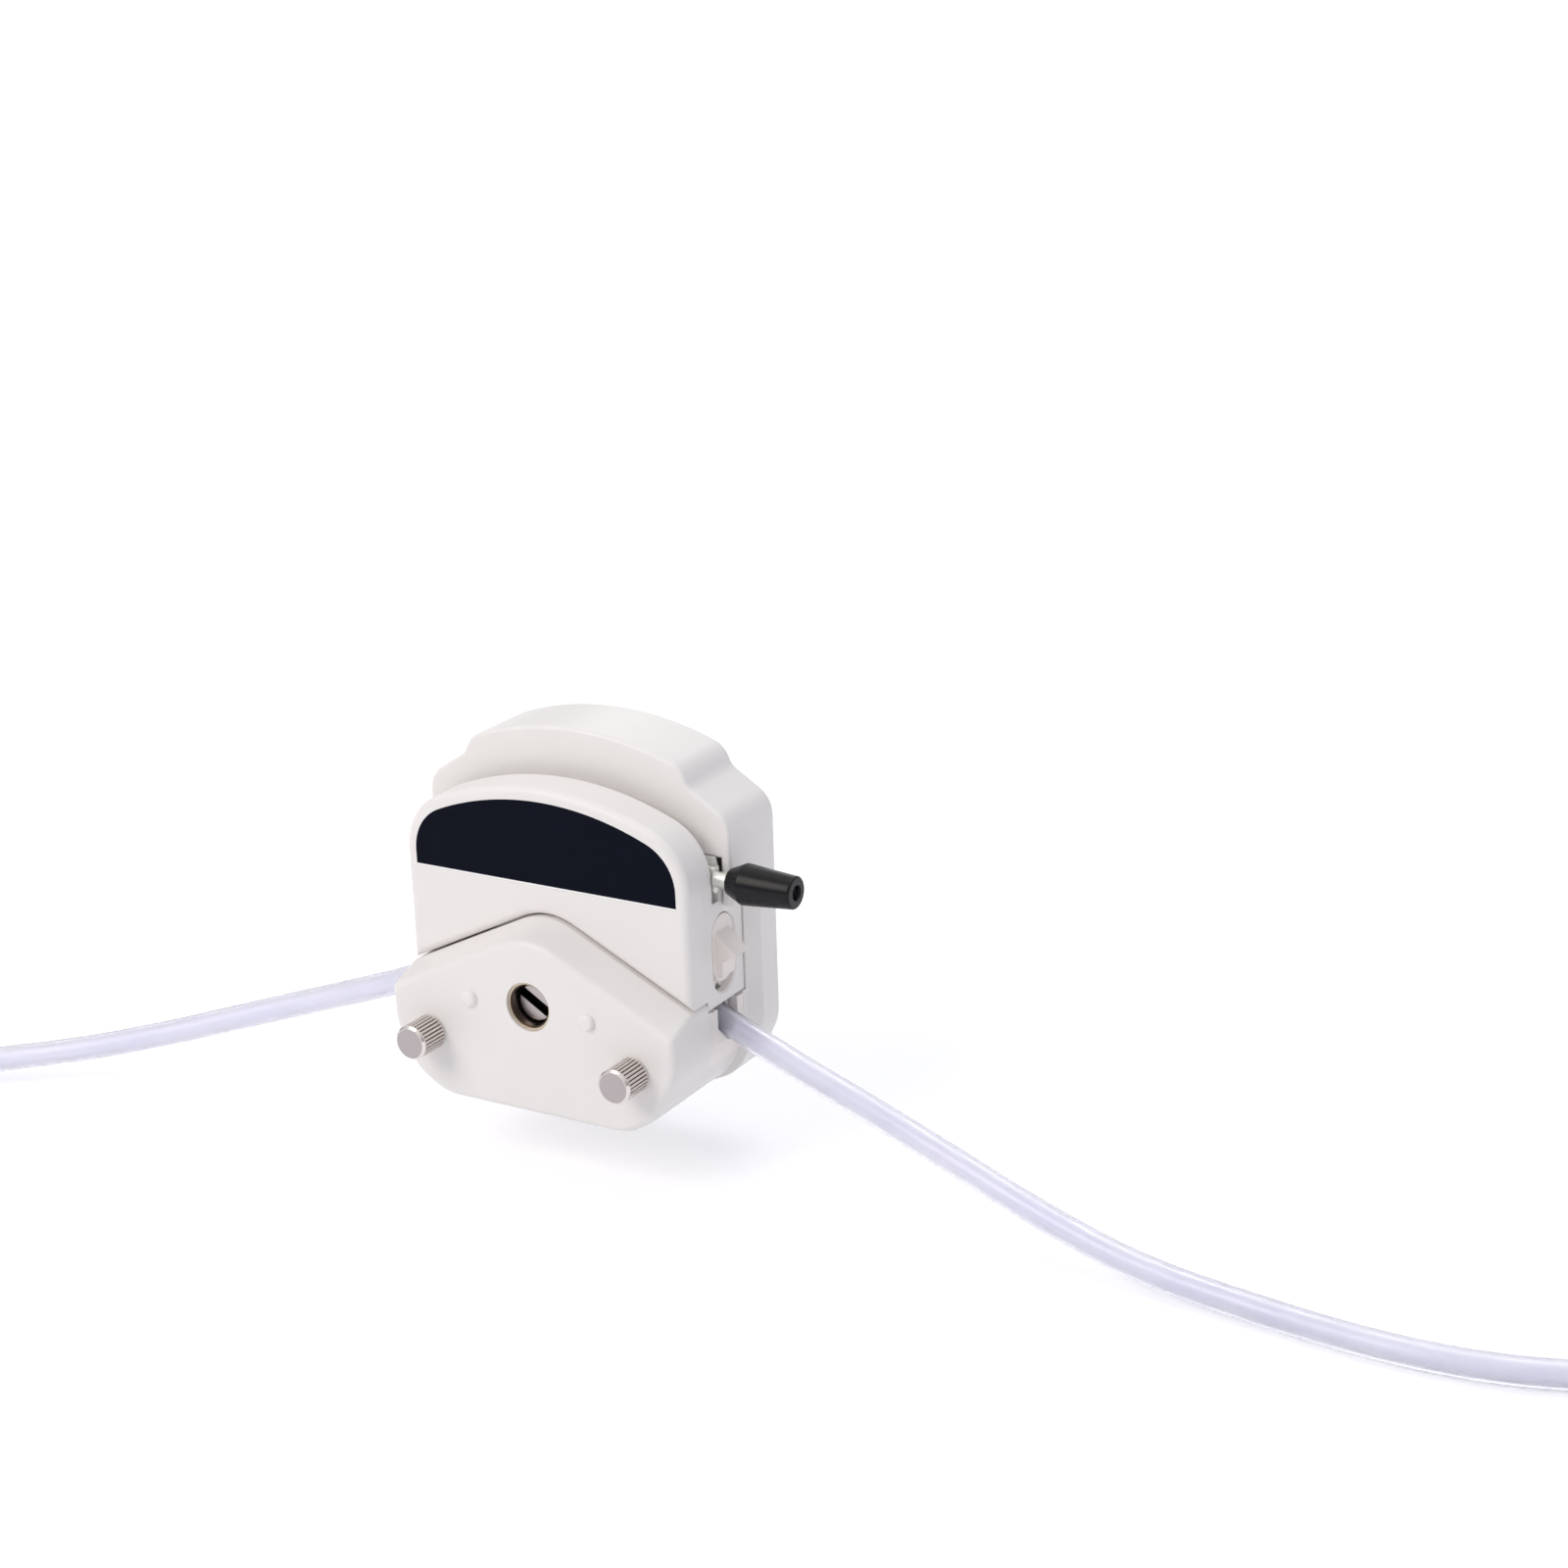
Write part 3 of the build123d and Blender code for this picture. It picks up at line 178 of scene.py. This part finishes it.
def hollow_tube(name, stations, cut_end):
    """Tube with a bore. A station is a centre, two cross directions and two half sizes."""
    vertices = []
    for centre, across, over, half_width, half_height in stations:
        for inset in (0, tube_wall):
            wide = (half_width - inset) * mm
            high = max(half_height - inset, least_bore) * mm
            for side in range(tube_sides):
                angle = 2 * math.pi * side / tube_sides
                rim = across * wide * math.cos(angle) + over * high * math.sin(angle)
                vertices.append(centre + rim)
    ring = 2 * tube_sides
    last = (len(stations) - 1) * ring
    faces = []
    for side in range(tube_sides):
        following = (side + 1) % tube_sides
        for start in range(0, last, ring):
            a, b = start + side, start + following
            c, d = a + tube_sides, b + tube_sides
            faces += [(a, b, b + ring, a + ring), (c, c + ring, d + ring, d)]
        if cut_end:
            a, b = last + side, last + following
            faces.append((a, b, b + tube_sides, a + tube_sides))
    mesh = bpy.data.meshes.new(name)
    mesh.from_pydata(vertices, [], faces)
    mesh.polygons.foreach_set("use_smooth", [True] * len(faces))
    mesh.materials.append(silicone)
    piece = bpy.data.objects.new(name, mesh)
    scene.collection.objects.link(piece)
    return piece


def round_stations(points):
    """Stations of round tube along the points, carried on without twist."""
    stations = []
    across = Vector((0, 1, 0))
    for number, place in enumerate(points):
        ahead = points[min(number + 1, len(points) - 1)] - points[max(number - 1, 0)]
        ahead.normalize()
        across = (across - ahead * across.dot(ahead)).normalized()
        stations.append((place, across, ahead.cross(across), tube_od / 2, tube_od / 2))
    return stations


tube_right_route = [
    (exit_x, tube_y, exit_z),
    (66.6, -24.3, -13.97),
    (96, -24.6, -24.6),
    (128, -27, -35.5),
    (160, -33, -44),
    (190, -38.5, -49.3),
    (222, -42, -51),
    (254, -46, -51.2),
    (284, -46, -51),
    (311, -39, -51),
    (334, -29, -51),
]
tube_left_route = [
    (-exit_x, tube_y, exit_z),
    (-66.6, -24.3, -13.97),
    (-98, -30.5, -24),
    (-126, -41, -32),
    (-150, -52, -38.5),
    (-174, -64, -43.5),
    (-199, -76, -47),
    (-222, -89, -49.5),
]
for tube_name, route in (("tube_right", tube_right_route), ("tube_left", tube_left_route)):
    points = spline_points(tube_name, route)
    free_tube = hollow_tube(f"silicone_{tube_name}", round_stations(points), cut_end=True)
    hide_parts(tube_name)
    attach(free_tube, "housing")


# ---- Tube inside the head ----
# The same tube, bent over the rotor and pressed flat between the top roller and the track.
# It runs on without a joint into the free tube on both sides.
roller_orbit = 19.0
roller_radius = 7.25
roller_play = 0.06
track_radius = 29.15
track_play = 0.02
track_half_angle = 66.0
press_half_angle = 26.0     # beyond it the tube is round again
flat_half_angle = 17.0      # up to it the tube follows the roller
flare_radius = 17.0
exit_slope = 24.0
track_steps = 33
flare_steps = 10
tube_arc = track_radius - tube_od / 2


def pressed_thickness(angle):
    """Thickness of the tube at an angle from the top, between roller and track."""
    a = math.radians(abs(angle))
    surface = roller_orbit * math.cos(a) + math.sqrt(
        max(roller_radius**2 - (roller_orbit * math.sin(a)) ** 2, 0)
    )
    gap = track_radius - surface - roller_play
    if abs(angle) > flat_half_angle:
        share = min((abs(angle) - flat_half_angle) / (press_half_angle - flat_half_angle), 1)
        gap = gap * (1 - share) + tube_od * share
    return min(gap, tube_od)


def head_station(distance, height, along_x, along_z, thickness):
    """Station in the tube's plane, its half width grown by what the press takes away."""
    width = thickness + math.pi * (tube_od - thickness) / 2
    centre = Vector((distance, tube_y, height)) * mm
    over = Vector((-along_z, 0, along_x))
    return centre, Vector((0, 1, 0)), over, width / 2, thickness / 2


head_stations = []
flare_turn = track_half_angle - exit_slope
flare_x = (tube_arc + flare_radius) * math.sin(math.radians(track_half_angle))
flare_z = (tube_arc + flare_radius) * math.cos(math.radians(track_half_angle))
for side in (-1, 1):
    half = []
    for step in range(track_steps + 1):
        angle = track_half_angle * step / track_steps
        thickness = pressed_thickness(angle)
        reach = track_radius - thickness / 2 - track_play
        a = math.radians(angle)
        x, z = side * reach * math.sin(a), reach * math.cos(a)
        half.append(head_station(x, z, math.cos(a), -side * math.sin(a), thickness))
    for step in range(1, flare_steps + 1):
        a = math.radians(track_half_angle - flare_turn * step / flare_steps)
        x = side * (flare_x - flare_radius * math.sin(a))
        z = flare_z - flare_radius * math.cos(a)
        half.append(head_station(x, z, math.cos(a), -side * math.sin(a), tube_od))
    a = math.radians(exit_slope)
    half.append(head_station(side * exit_x, exit_z, math.cos(a), -side * math.sin(a), tube_od))
    head_stations = list(reversed(half)) if side < 0 else head_stations + half[1:]
tube_in_head = hollow_tube("silicone_tube_in_head", head_stations, cut_end=False)
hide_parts("tube_in_head")
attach(tube_in_head, "housing")


# ---- Studio ----
# A matt white table and white surroundings, with four plain soft lamps. To the eye and
# through the tube both look white; metal sees the walls greyer towards the horizon. They
# light the head more softly than they look.
table_height = -55 * mm
table_half = 6.0            # metres, as are the two reaches
near_reach = 0.35
far_reach = 1.5
near_glow = 0.3             # added to the table's own white, where it is seen
horizon_glow = 0.3
bright_from = 0.7           # upward share of a direction above which the walls are white
fill_strength = 0.56
table_mesh = bpy.data.meshes.new("table")
table_mesh.from_pydata(
    [
        (-table_half, -table_half, table_height),
        (table_half, -table_half, table_height),
        (table_half, table_half, table_height),
        (-table_half, table_half, table_height),
    ],
    [],
    [(0, 1, 2, 3)],
)
table = bpy.data.objects.new("table", table_mesh)
scene.collection.objects.link(table)


def sight(tree):
    """Two switches: rays of the eye or through the tube, and those with metal's as well."""
    rays = add_node(tree, "ShaderNodeLightPath")
    clear = add_node(
        tree,
        "ShaderNodeMath",
        {0: rays.outputs["Is Camera Ray"], 1: rays.outputs["Is Transmission Ray"]},
        operation="MAXIMUM",
    )
    seen = add_node(
        tree,
        "ShaderNodeMath",
        {0: clear.outputs[0], 1: rays.outputs["Is Glossy Ray"]},
        operation="MAXIMUM",
    )
    return clear, seen


board, tree, shader = new_material("board_matt_white", Base_Color=linear("F6F6F8"), Roughness=0.9)
clear, seen = sight(tree)
place = add_node(tree, "ShaderNodeTexCoord")
distance = add_node(tree, "ShaderNodeVectorMath", {0: place.outputs["Object"]}, operation="LENGTH")
lift = add_node(
    tree,
    "ShaderNodeMapRange",
    {"Value": distance.outputs["Value"]},
    From_Min=near_reach,
    From_Max=far_reach,
    To_Min=near_glow,
    To_Max=1.0,
)
glow = add_node(
    tree, "ShaderNodeEmission", {"Strength": lift.outputs["Result"]}, Color=(1, 1, 1, 1)
)
lit_board = add_node(tree, "ShaderNodeAddShader", {0: shader.outputs[0], 1: glow.outputs[0]})
shown = add_node(
    tree,
    "ShaderNodeMixShader",
    {0: seen.outputs[0], 1: shader.outputs[0], 2: lit_board.outputs[0]},
)
tree.links.new(shown.outputs[0], tree.nodes["Material Output"].inputs["Surface"])
table_mesh.materials.append(board)

surroundings = bpy.data.worlds.new("surroundings")
scene.world = surroundings
surroundings.use_nodes = True
tree = surroundings.node_tree
clear, seen = sight(tree)
place = add_node(tree, "ShaderNodeTexCoord")
height = add_node(tree, "ShaderNodeSeparateXYZ", {"Vector": place.outputs["Generated"]})
walls = add_node(
    tree,
    "ShaderNodeMapRange",
    {"Value": height.outputs["Z"]},
    From_Max=bright_from,
    To_Min=horizon_glow,
    To_Max=1.0,
)
strength = add_node(
    tree, "ShaderNodeMath", {0: clear.outputs[0], 1: walls.outputs["Result"]}, operation="MAXIMUM"
)
white = add_node(
    tree, "ShaderNodeBackground", {"Strength": strength.outputs[0]}, Color=(1, 1, 1, 1)
)
fill = tree.nodes["Background"]
fill.inputs["Color"].default_value = linear("F6F7FF")
fill.inputs["Strength"].default_value = fill_strength
both = add_node(
    tree, "ShaderNodeMixShader", {0: seen.outputs[0], 1: fill.outputs[0], 2: white.outputs[0]}
)
tree.links.new(both.outputs[0], tree.nodes["World Output"].inputs["Surface"])

head_middle = Vector((0, -30, 15)) * mm
for lamp_name, stand, size, watts, colour in (
    ("key_lamp", (-500, -1000, 900), 800, 7.6, "FFF8F0"),
    ("side_lamp", (1300, -300, 500), 800, 0.4, "F2F4FF"),
    ("top_lamp", (100, 300, 1400), 900, 4, "FFFFFF"),
    ("rear_lamp", (-400, 1300, 500), 900, 2.2, "FFFFFF"),
):
    light = bpy.data.lights.new(lamp_name, "AREA")
    light.energy = watts
    light.size = size * mm
    light.color = linear(colour)[:3]
    lamp = bpy.data.objects.new(lamp_name, light)
    lamp.location = Vector(stand) * mm
    lamp.rotation_euler = (lamp.location - head_middle).to_track_quat("Z", "Y").to_euler()
    scene.collection.objects.link(lamp)


# ---- Housing: rear housing, front plate, track block and its cover ----
# Injection-moulded ABS in warm ivory white, screwed together. The mould's spark-eroded
# skin gives a soft satin; its grain is about 0.1 mm and is drawn at 0.4 mm to show.
drift_size = 40.0
grain_size = 0.4
satin_spread = 0.06         # of the roughness, to both sides


def moulded(name, base, shade, roughness, edge):
    """Moulded plastic in two near tones, with satin grain and softened edges."""
    material, tree, shader = new_material(name, IOR=1.54, Specular_IOR_Level=0.4)
    coordinates = add_node(tree, "ShaderNodeTexCoord")
    drift = add_node(
        tree,
        "ShaderNodeTexNoise",
        {"Vector": coordinates.outputs["Object"]},
        Scale=1 / (drift_size * mm),
        Detail=4,
    )
    tone = add_node(
        tree,
        "ShaderNodeMix",
        {"Factor": drift.outputs["Fac"]},
        data_type="RGBA",
        A=linear(base),
        B=linear(shade),
    )
    tree.links.new(tone.outputs["Result"], shader.inputs["Base Color"])
    grain = add_node(
        tree,
        "ShaderNodeTexNoise",
        {"Vector": coordinates.outputs["Object"]},
        Scale=1 / (grain_size * mm),
        Detail=2,
    )
    gloss = add_node(
        tree,
        "ShaderNodeMapRange",
        {"Value": drift.outputs["Fac"]},
        To_Min=roughness - satin_spread,
        To_Max=roughness + satin_spread,
    )
    tree.links.new(gloss.outputs["Result"], shader.inputs["Roughness"])
    rounded = add_node(tree, "ShaderNodeBevel", samples=6, Radius=edge * mm)
    relief = add_node(
        tree,
        "ShaderNodeBump",
        {"Height": grain.outputs["Fac"], "Normal": rounded.outputs["Normal"]},
        Strength=0.1,
        Distance=0.05 * mm,
    )
    tree.links.new(relief.outputs["Normal"], shader.inputs["Normal"])
    return material


def dress(material, *nodes):
    """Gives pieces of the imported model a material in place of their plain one."""
    for name in nodes:
        for material_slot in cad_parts[name].material_slots:
            material_slot.material = material


housing_abs = moulded("abs_moulded_ivory", "F4F1EE", "EFECE9", 0.36, 0.22)
dress(housing_abs, "rear_housing", "front_plate", "track_block", "top_cover")


# ---- Retainers and jaws ----
# Acetal mouldings, a shade warmer than the housing and a little glossier: they slide and
# must not stick. Cam of the same plastic on the lever's shaft.
acetal = moulded("acetal_moulded_ivory", "FAF4EE", "F5EEE8", 0.33, 0.12)
dress(acetal, "retainer_left", "retainer_right", "lower_jaw_left", "lower_jaw_right", "lever_cam")


# ---- Label ----
# Printed polyester film let into the cover: near-black with a navy cast, matt varnished,
# with a thin unprinted line along its straight lower edge; its pure white is partly a
# painted highlight where that edge catches light.
label_low = 34.0
label_line = 0.55
print_edge = 0.05           # half the width over which the print begins
mottle_size = 8.0
label_film, tree, shader = new_material(
    "polyester_film_printed_dark", IOR=1.57, Specular_IOR_Level=0.03
)
coordinates = add_node(tree, "ShaderNodeTexCoord")
place = add_node(tree, "ShaderNodeSeparateXYZ", {"Vector": coordinates.outputs["Object"]})
printed = add_node(
    tree,
    "ShaderNodeMapRange",
    {"Value": place.outputs["Z"]},
    From_Min=(label_low + label_line - print_edge) * mm,
    From_Max=(label_low + label_line + print_edge) * mm,
)
mottle = add_node(
    tree,
    "ShaderNodeTexNoise",
    {"Vector": coordinates.outputs["Object"]},
    Scale=1 / (mottle_size * mm),
    Detail=5,
)
ink = add_node(
    tree,
    "ShaderNodeMix",
    {"Factor": mottle.outputs["Fac"]},
    data_type="RGBA",
    A=linear("0A0E19"),
    B=linear("0D121F"),
)
# Below the print the film is pure white: its unprinted edge, and in part a painted highlight.
film = add_node(
    tree,
    "ShaderNodeMix",
    {"Factor": printed.outputs["Result"], "B": ink.outputs["Result"]},
    data_type="RGBA",
    A=linear("FFFFFF"),
)
tree.links.new(film.outputs["Result"], shader.inputs["Base Color"])
gloss = add_node(
    tree, "ShaderNodeMapRange", {"Value": mottle.outputs["Fac"]}, To_Min=0.38, To_Max=0.5
)
tree.links.new(gloss.outputs["Result"], shader.inputs["Roughness"])
dress(label_film, "label_plate")


# ---- Rotor, bearings, lever and fixings in steel ----
# Turned and ground steels, satin grey to bright, with fine rings drawn round the rotor's
# axis. The tool's marks are under 0.1 mm apart and are drawn at 0.5 mm to show.
ring_pitch = 0.5
turned_edge = 0.15
gloss_patch = 2.5
gloss_spread = 0.08         # of the roughness, to both sides


def turned(name, tone, roughness):
    """Turned metal: fine rings round an axis along Y and small changes of gloss."""
    material, tree, shader = new_material(name, Base_Color=linear(tone), Metallic=1.0)
    coordinates = add_node(tree, "ShaderNodeTexCoord")
    rings = add_node(
        tree,
        "ShaderNodeTexWave",
        {"Vector": coordinates.outputs["Object"]},
        wave_type="RINGS",
        rings_direction="Y",
        Scale=math.pi / (10 * ring_pitch * mm),
        Distortion=0.6,
        Detail=1,
    )
    cloud = add_node(
        tree,
        "ShaderNodeTexNoise",
        {"Vector": coordinates.outputs["Object"]},
        Scale=1 / (gloss_patch * mm),
        Detail=4,
    )
    gloss = add_node(
        tree,
        "ShaderNodeMapRange",
        {"Value": cloud.outputs["Fac"]},
        To_Min=roughness - gloss_spread,
        To_Max=roughness + gloss_spread,
    )
    tree.links.new(gloss.outputs["Result"], shader.inputs["Roughness"])
    rounded = add_node(tree, "ShaderNodeBevel", samples=4, Radius=turned_edge * mm)
    relief = add_node(
        tree,
        "ShaderNodeBump",
        {"Height": rings.outputs["Fac"], "Normal": rounded.outputs["Normal"]},
        Strength=0.12,
        Distance=0.02 * mm,
    )
    tree.links.new(relief.outputs["Normal"], shader.inputs["Normal"])
    return material


ground_steel = turned("steel_ground", "AFABA9", 0.36)
bright_steel = turned("steel_hardened_bright", "C9C7C4", 0.22)
stem_steel = turned("steel_zinc_plated", "E2E3DE", 0.38)
dress(ground_steel, "rotor_disc_rear", "rotor_disc_front", "rotor_keys", "cam_yoke")
dress(bright_steel, "roller_pins", "roller_1", "roller_2", "roller_3", "guide_rods", "jaw_pins")
dress(bright_steel, "rear_bearing", "front_bearing", "lever_shaft")
dress(bright_steel, "retainer_spring_left", "retainer_spring_right")
dress(stem_steel, "lever_arm", "cam_screw", "cover_screws", "yoke_screws", "housing_screws")
dress(stem_steel, "thumb_clip_left", "thumb_clip_right")

# The coupling slot in the shaft's front end is nearly black below its edges: painted shade.
shaft_face = -50.7
slot_depth = 3.0
clean_rim = 0.1
shade_full = 0.7              # depth from which the painted shade is at its darkest
shade_gone = 0.6              # distance behind the slot's floor at which the painted shade has ended
shaft_tone = "B3ACAB"
shaft_steel_shaded_slot = turned("steel_ground_slot_painted_shade", shaft_tone, 0.34)
tree = shaft_steel_shaded_slot.node_tree
coordinates = add_node(tree, "ShaderNodeTexCoord")
place = add_node(tree, "ShaderNodeSeparateXYZ", {"Vector": coordinates.outputs["Object"]})
below_edge = add_node(
    tree,
    "ShaderNodeMapRange",
    {"Value": place.outputs["Y"]},
    From_Min=(shaft_face + clean_rim) * mm,
    From_Max=(shaft_face + shade_full) * mm,
)
in_slot = add_node(
    tree,
    "ShaderNodeMapRange",
    {"Value": place.outputs["Y"]},
    From_Min=(shaft_face + slot_depth + shade_gone) * mm,
    From_Max=(shaft_face + slot_depth + clean_rim) * mm,
)
painted_shade_mask = add_node(
    tree,
    "ShaderNodeMath",
    {0: below_edge.outputs["Result"], 1: in_slot.outputs["Result"]},
    operation="MULTIPLY",
)
# Painted shade: inside the slot the steel's tone turns nearly black.
tone = add_node(
    tree,
    "ShaderNodeMix",
    {"Factor": painted_shade_mask.outputs[0]},
    data_type="RGBA",
    A=linear(shaft_tone),
    B=linear("2A2A28"),
)
tree.links.new(tone.outputs["Result"], tree.nodes["Principled BSDF"].inputs["Base Color"])
dress(shaft_steel_shaded_slot, "rotor_shaft")


# ---- Bushes ----
# Bronze pressed from powder, sintered, skimmed to length and soaked in oil: pale and dull
# beside the steels.
sintered_bronze = turned("bronze_sintered", "C8BCA9", 0.45)
dress(sintered_bronze, "front_bush", "lever_bush")
dress(sintered_bronze, "roller_bushes_1", "roller_bushes_2", "roller_bushes_3")


# ---- Seals ----
# Nitrile rubber, pressed in: black with a soft shine from the mould, and on the front lip
# ring, which the shaft's oil wets, a brown gloss.
bloom_size = 1.5


def nitrile(name, low, high, **surface):
    """Black rubber with a dull bloom; low and high are the limits of its roughness."""
    material, tree, shader = new_material(name, IOR=1.52, **surface)
    coordinates = add_node(tree, "ShaderNodeTexCoord")
    bloom = add_node(
        tree,
        "ShaderNodeTexNoise",
        {"Vector": coordinates.outputs["Object"]},
        Scale=1 / (bloom_size * mm),
        Detail=4,
    )
    tint = add_node(
        tree,
        "ShaderNodeMix",
        {"Factor": bloom.outputs["Fac"]},
        data_type="RGBA",
        A=linear("100F0F"),
        B=linear("211E1D"),
    )
    tree.links.new(tint.outputs["Result"], shader.inputs["Base Color"])
    gloss = add_node(
        tree, "ShaderNodeMapRange", {"Value": bloom.outputs["Fac"]}, To_Min=low, To_Max=high
    )
    tree.links.new(gloss.outputs["Result"], shader.inputs["Roughness"])
    return material


dress(nitrile("rubber_nitrile_black", 0.3, 0.5), "shaft_seal")
oiled = nitrile(
    "rubber_nitrile_oiled", 0.1, 0.2, Specular_IOR_Level=0.9, Specular_Tint=linear("E3BFA4")
)
dress(oiled, "front_lip_ring")


# ---- Lever grip ----
# Black moulded phenolic, screwed on the arm's stem: smooth and satin with soft highlights,
# a little scuffed where fingers hold it.
scuff_size = 4.0
phenolic, tree, shader = new_material("phenolic_moulded_black", IOR=1.6, Specular_IOR_Level=0.17)
coordinates = add_node(tree, "ShaderNodeTexCoord")
scuffs = add_node(
    tree,
    "ShaderNodeTexNoise",
    {"Vector": coordinates.outputs["Object"]},
    Scale=1 / (scuff_size * mm),
    Detail=6,
)
tint = add_node(
    tree,
    "ShaderNodeMix",
    {"Factor": scuffs.outputs["Fac"]},
    data_type="RGBA",
    A=linear("09090C"),
    B=linear("121217"),
)
tree.links.new(tint.outputs["Result"], shader.inputs["Base Color"])
gloss = add_node(
    tree, "ShaderNodeMapRange", {"Value": scuffs.outputs["Fac"]}, To_Min=0.2, To_Max=0.36
)
tree.links.new(gloss.outputs["Result"], shader.inputs["Roughness"])
rounded = add_node(tree, "ShaderNodeBevel", samples=6, Radius=0.5 * mm)
relief = add_node(
    tree,
    "ShaderNodeBump",
    {"Height": scuffs.outputs["Fac"], "Normal": rounded.outputs["Normal"]},
    Strength=0.15,
    Distance=0.05 * mm,
)
tree.links.new(relief.outputs["Normal"], shader.inputs["Normal"])
dress(phenolic, "lever_grip")


# ---- Thumbscrews ----
# Turned from brass and nickel plated: a coarse straight knurl between plain chamfers, a
# fine-turned face, and a long shank that ends in an M5 thread behind the head. Depths are
# ahead of the mounting face.
thumb_spread = 36.4
thumb_height = -14.4
head_radius = 5.4
head_start = 55.1
head_end = 66.0
back_chamfer = 0.45
face_chamfer = 0.6
knurls = 28
knurl_depth = 0.42
knurl_start = head_start + 1.0
knurl_end = head_end - 1.4
knurl_run_out = 0.3
sides_per_knurl = 6
shank_radius = 2.25
groove_radius = 2.0         # of the groove that the clip sits in
groove_length = 0.8
stud_radius = 2.5
stud_start = 3.5
stud_reach = 8.0            # behind the mounting face
stud_chamfer = 0.5
thread_pitch = 0.8
thread_depth = 0.35
plain_ends = 1.2            # of the stud, its chamfer included
thread_length = stud_reach + stud_start - plain_ends
steps_per_turn = 8
nickel_patch = 2.0


def nickel_plated(name, tone, low, high):
    """Nickel over turned brass, ringed like the steels; low and high limit its roughness."""
    material, tree, shader = new_material(name, Base_Color=linear(tone), Metallic=1.0)
    coordinates = add_node(tree, "ShaderNodeTexCoord")
    rings = add_node(
        tree,
        "ShaderNodeTexWave",
        {"Vector": coordinates.outputs["Object"]},
        wave_type="RINGS",
        rings_direction="Y",
        Scale=math.pi / (10 * ring_pitch * mm),
        Distortion=0.3,
    )
    cloud = add_node(
        tree,
        "ShaderNodeTexNoise",
        {"Vector": coordinates.outputs["Object"]},
        Scale=1 / (nickel_patch * mm),
        Detail=4,
    )
    gloss = add_node(
        tree, "ShaderNodeMapRange", {"Value": cloud.outputs["Fac"]}, To_Min=low, To_Max=high
    )
    tree.links.new(gloss.outputs["Result"], shader.inputs["Roughness"])
    relief = add_node(
        tree, "ShaderNodeBump", {"Height": rings.outputs["Fac"]}, Strength=0.15, Distance=0.03 * mm
    )
    tree.links.new(relief.outputs["Normal"], shader.inputs["Normal"])
    return material


nickel = nickel_plated("brass_nickel_plated", "DAD4D1", 0.12, 0.24)
nickel_face = nickel_plated("brass_nickel_turned_face", "ADA6A6", 0.28, 0.38)
# Painted shade: a darker tone for the bottoms of the knurl's grooves.
nickel_shaded_groove = nickel_plated("brass_nickel_groove_painted_shade", "807877", 0.25, 0.4)


def knurled(angle, share):
    """How deep the knurl's grooves go at an angle; share runs them out at both ends."""
    wave = abs((angle * knurls / (2 * math.pi)) % 1 - 0.5) * 2
    return knurl_depth * wave**2 * share


def threaded(angle, depth):
    """Depth of a single-start thread at an angle and a depth along the stud."""
    wave = abs((depth / thread_pitch + angle / (2 * math.pi)) % 1 - 0.5) * 2
    return thread_depth * wave


# Rings from the stud's end to the face: depth, radius, share of knurl and share of thread.
groove_end = stud_start + groove_length
profile = [(-stud_reach, 0, 0, 0), (-stud_reach, stud_radius - stud_chamfer, 0, 0)]
thread_steps = int(thread_length / thread_pitch * steps_per_turn)
for step in range(thread_steps + 1):
    depth = -stud_reach + stud_chamfer + thread_length * step / thread_steps
    profile.append((depth, stud_radius, 0, 1))
profile += [
    (stud_start, stud_radius, 0, 0),
    (stud_start, groove_radius, 0, 0),
    (groove_end, groove_radius, 0, 0),
    (groove_end, shank_radius, 0, 0),
    (head_start, shank_radius, 0, 0),
    (head_start, head_radius - back_chamfer, 0, 0),
    (head_start + 0.4, head_radius - 0.02, 0, 0),
    (knurl_start - knurl_run_out, head_radius, 0, 0),
    (knurl_start, head_radius, 1, 0),
    (knurl_end, head_radius, 1, 0),
    (knurl_end + knurl_run_out, head_radius, 0, 0),
    (head_end - 0.05 - face_chamfer, head_radius, 0, 0),
    (head_end - 0.05, head_radius - face_chamfer, 0, 0),
    (head_end, head_radius - face_chamfer - 0.15, 0, 0),
    (head_end, 0, 0, 0),
]
screw_sides = sides_per_knurl * knurls
for side_name, side in (("left", -1), ("right", 1)):
    vertices = []
    for depth, radius, knurl_share, thread_share in profile:
        for turn in range(screw_sides):
            angle = 2 * math.pi * turn / screw_sides
            r = radius - knurled(angle, knurl_share) - thread_share * threaded(angle, depth)
            x = side * thumb_spread + r * math.sin(angle)
            z = thumb_height + r * math.cos(angle)
            vertices.append(Vector((x, -depth, z)) * mm)
    faces = []
    for ring in range(len(profile) - 1):
        for turn in range(screw_sides):
            a = ring * screw_sides + turn
            b = ring * screw_sides + (turn + 1) % screw_sides
            faces.append((a, b, b + screw_sides, a + screw_sides))
    mesh = bpy.data.meshes.new(f"thumbscrew_{side_name}_turned")
    mesh.from_pydata(vertices, [], faces)
    mesh.polygons.foreach_set("use_smooth", [True] * len(faces))
    mesh.set_sharp_from_angle(angle=math.radians(24))
    for material in (nickel, nickel_face, nickel_shaded_groove):
        mesh.materials.append(material)
    # The last ring of faces is the turned face; faces at the bottoms of the knurl's grooves take
    # the painted shade.
    for polygon in mesh.polygons:
        ring, turn = divmod(polygon.index, screw_sides)
        on_knurl = profile[ring][2] + profile[ring + 1][2] > 0
        if ring == len(profile) - 2:
            polygon.material_index = 1
        elif on_knurl and turn % sides_per_knurl in (0, sides_per_knurl - 1):
            polygon.material_index = 2
    thumbscrew = bpy.data.objects.new(f"thumbscrew_{side_name}_turned", mesh)
    scene.collection.objects.link(thumbscrew)
    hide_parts(f"thumbscrew_{side_name}")
    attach(thumbscrew, f"thumbscrew_{side_name}")
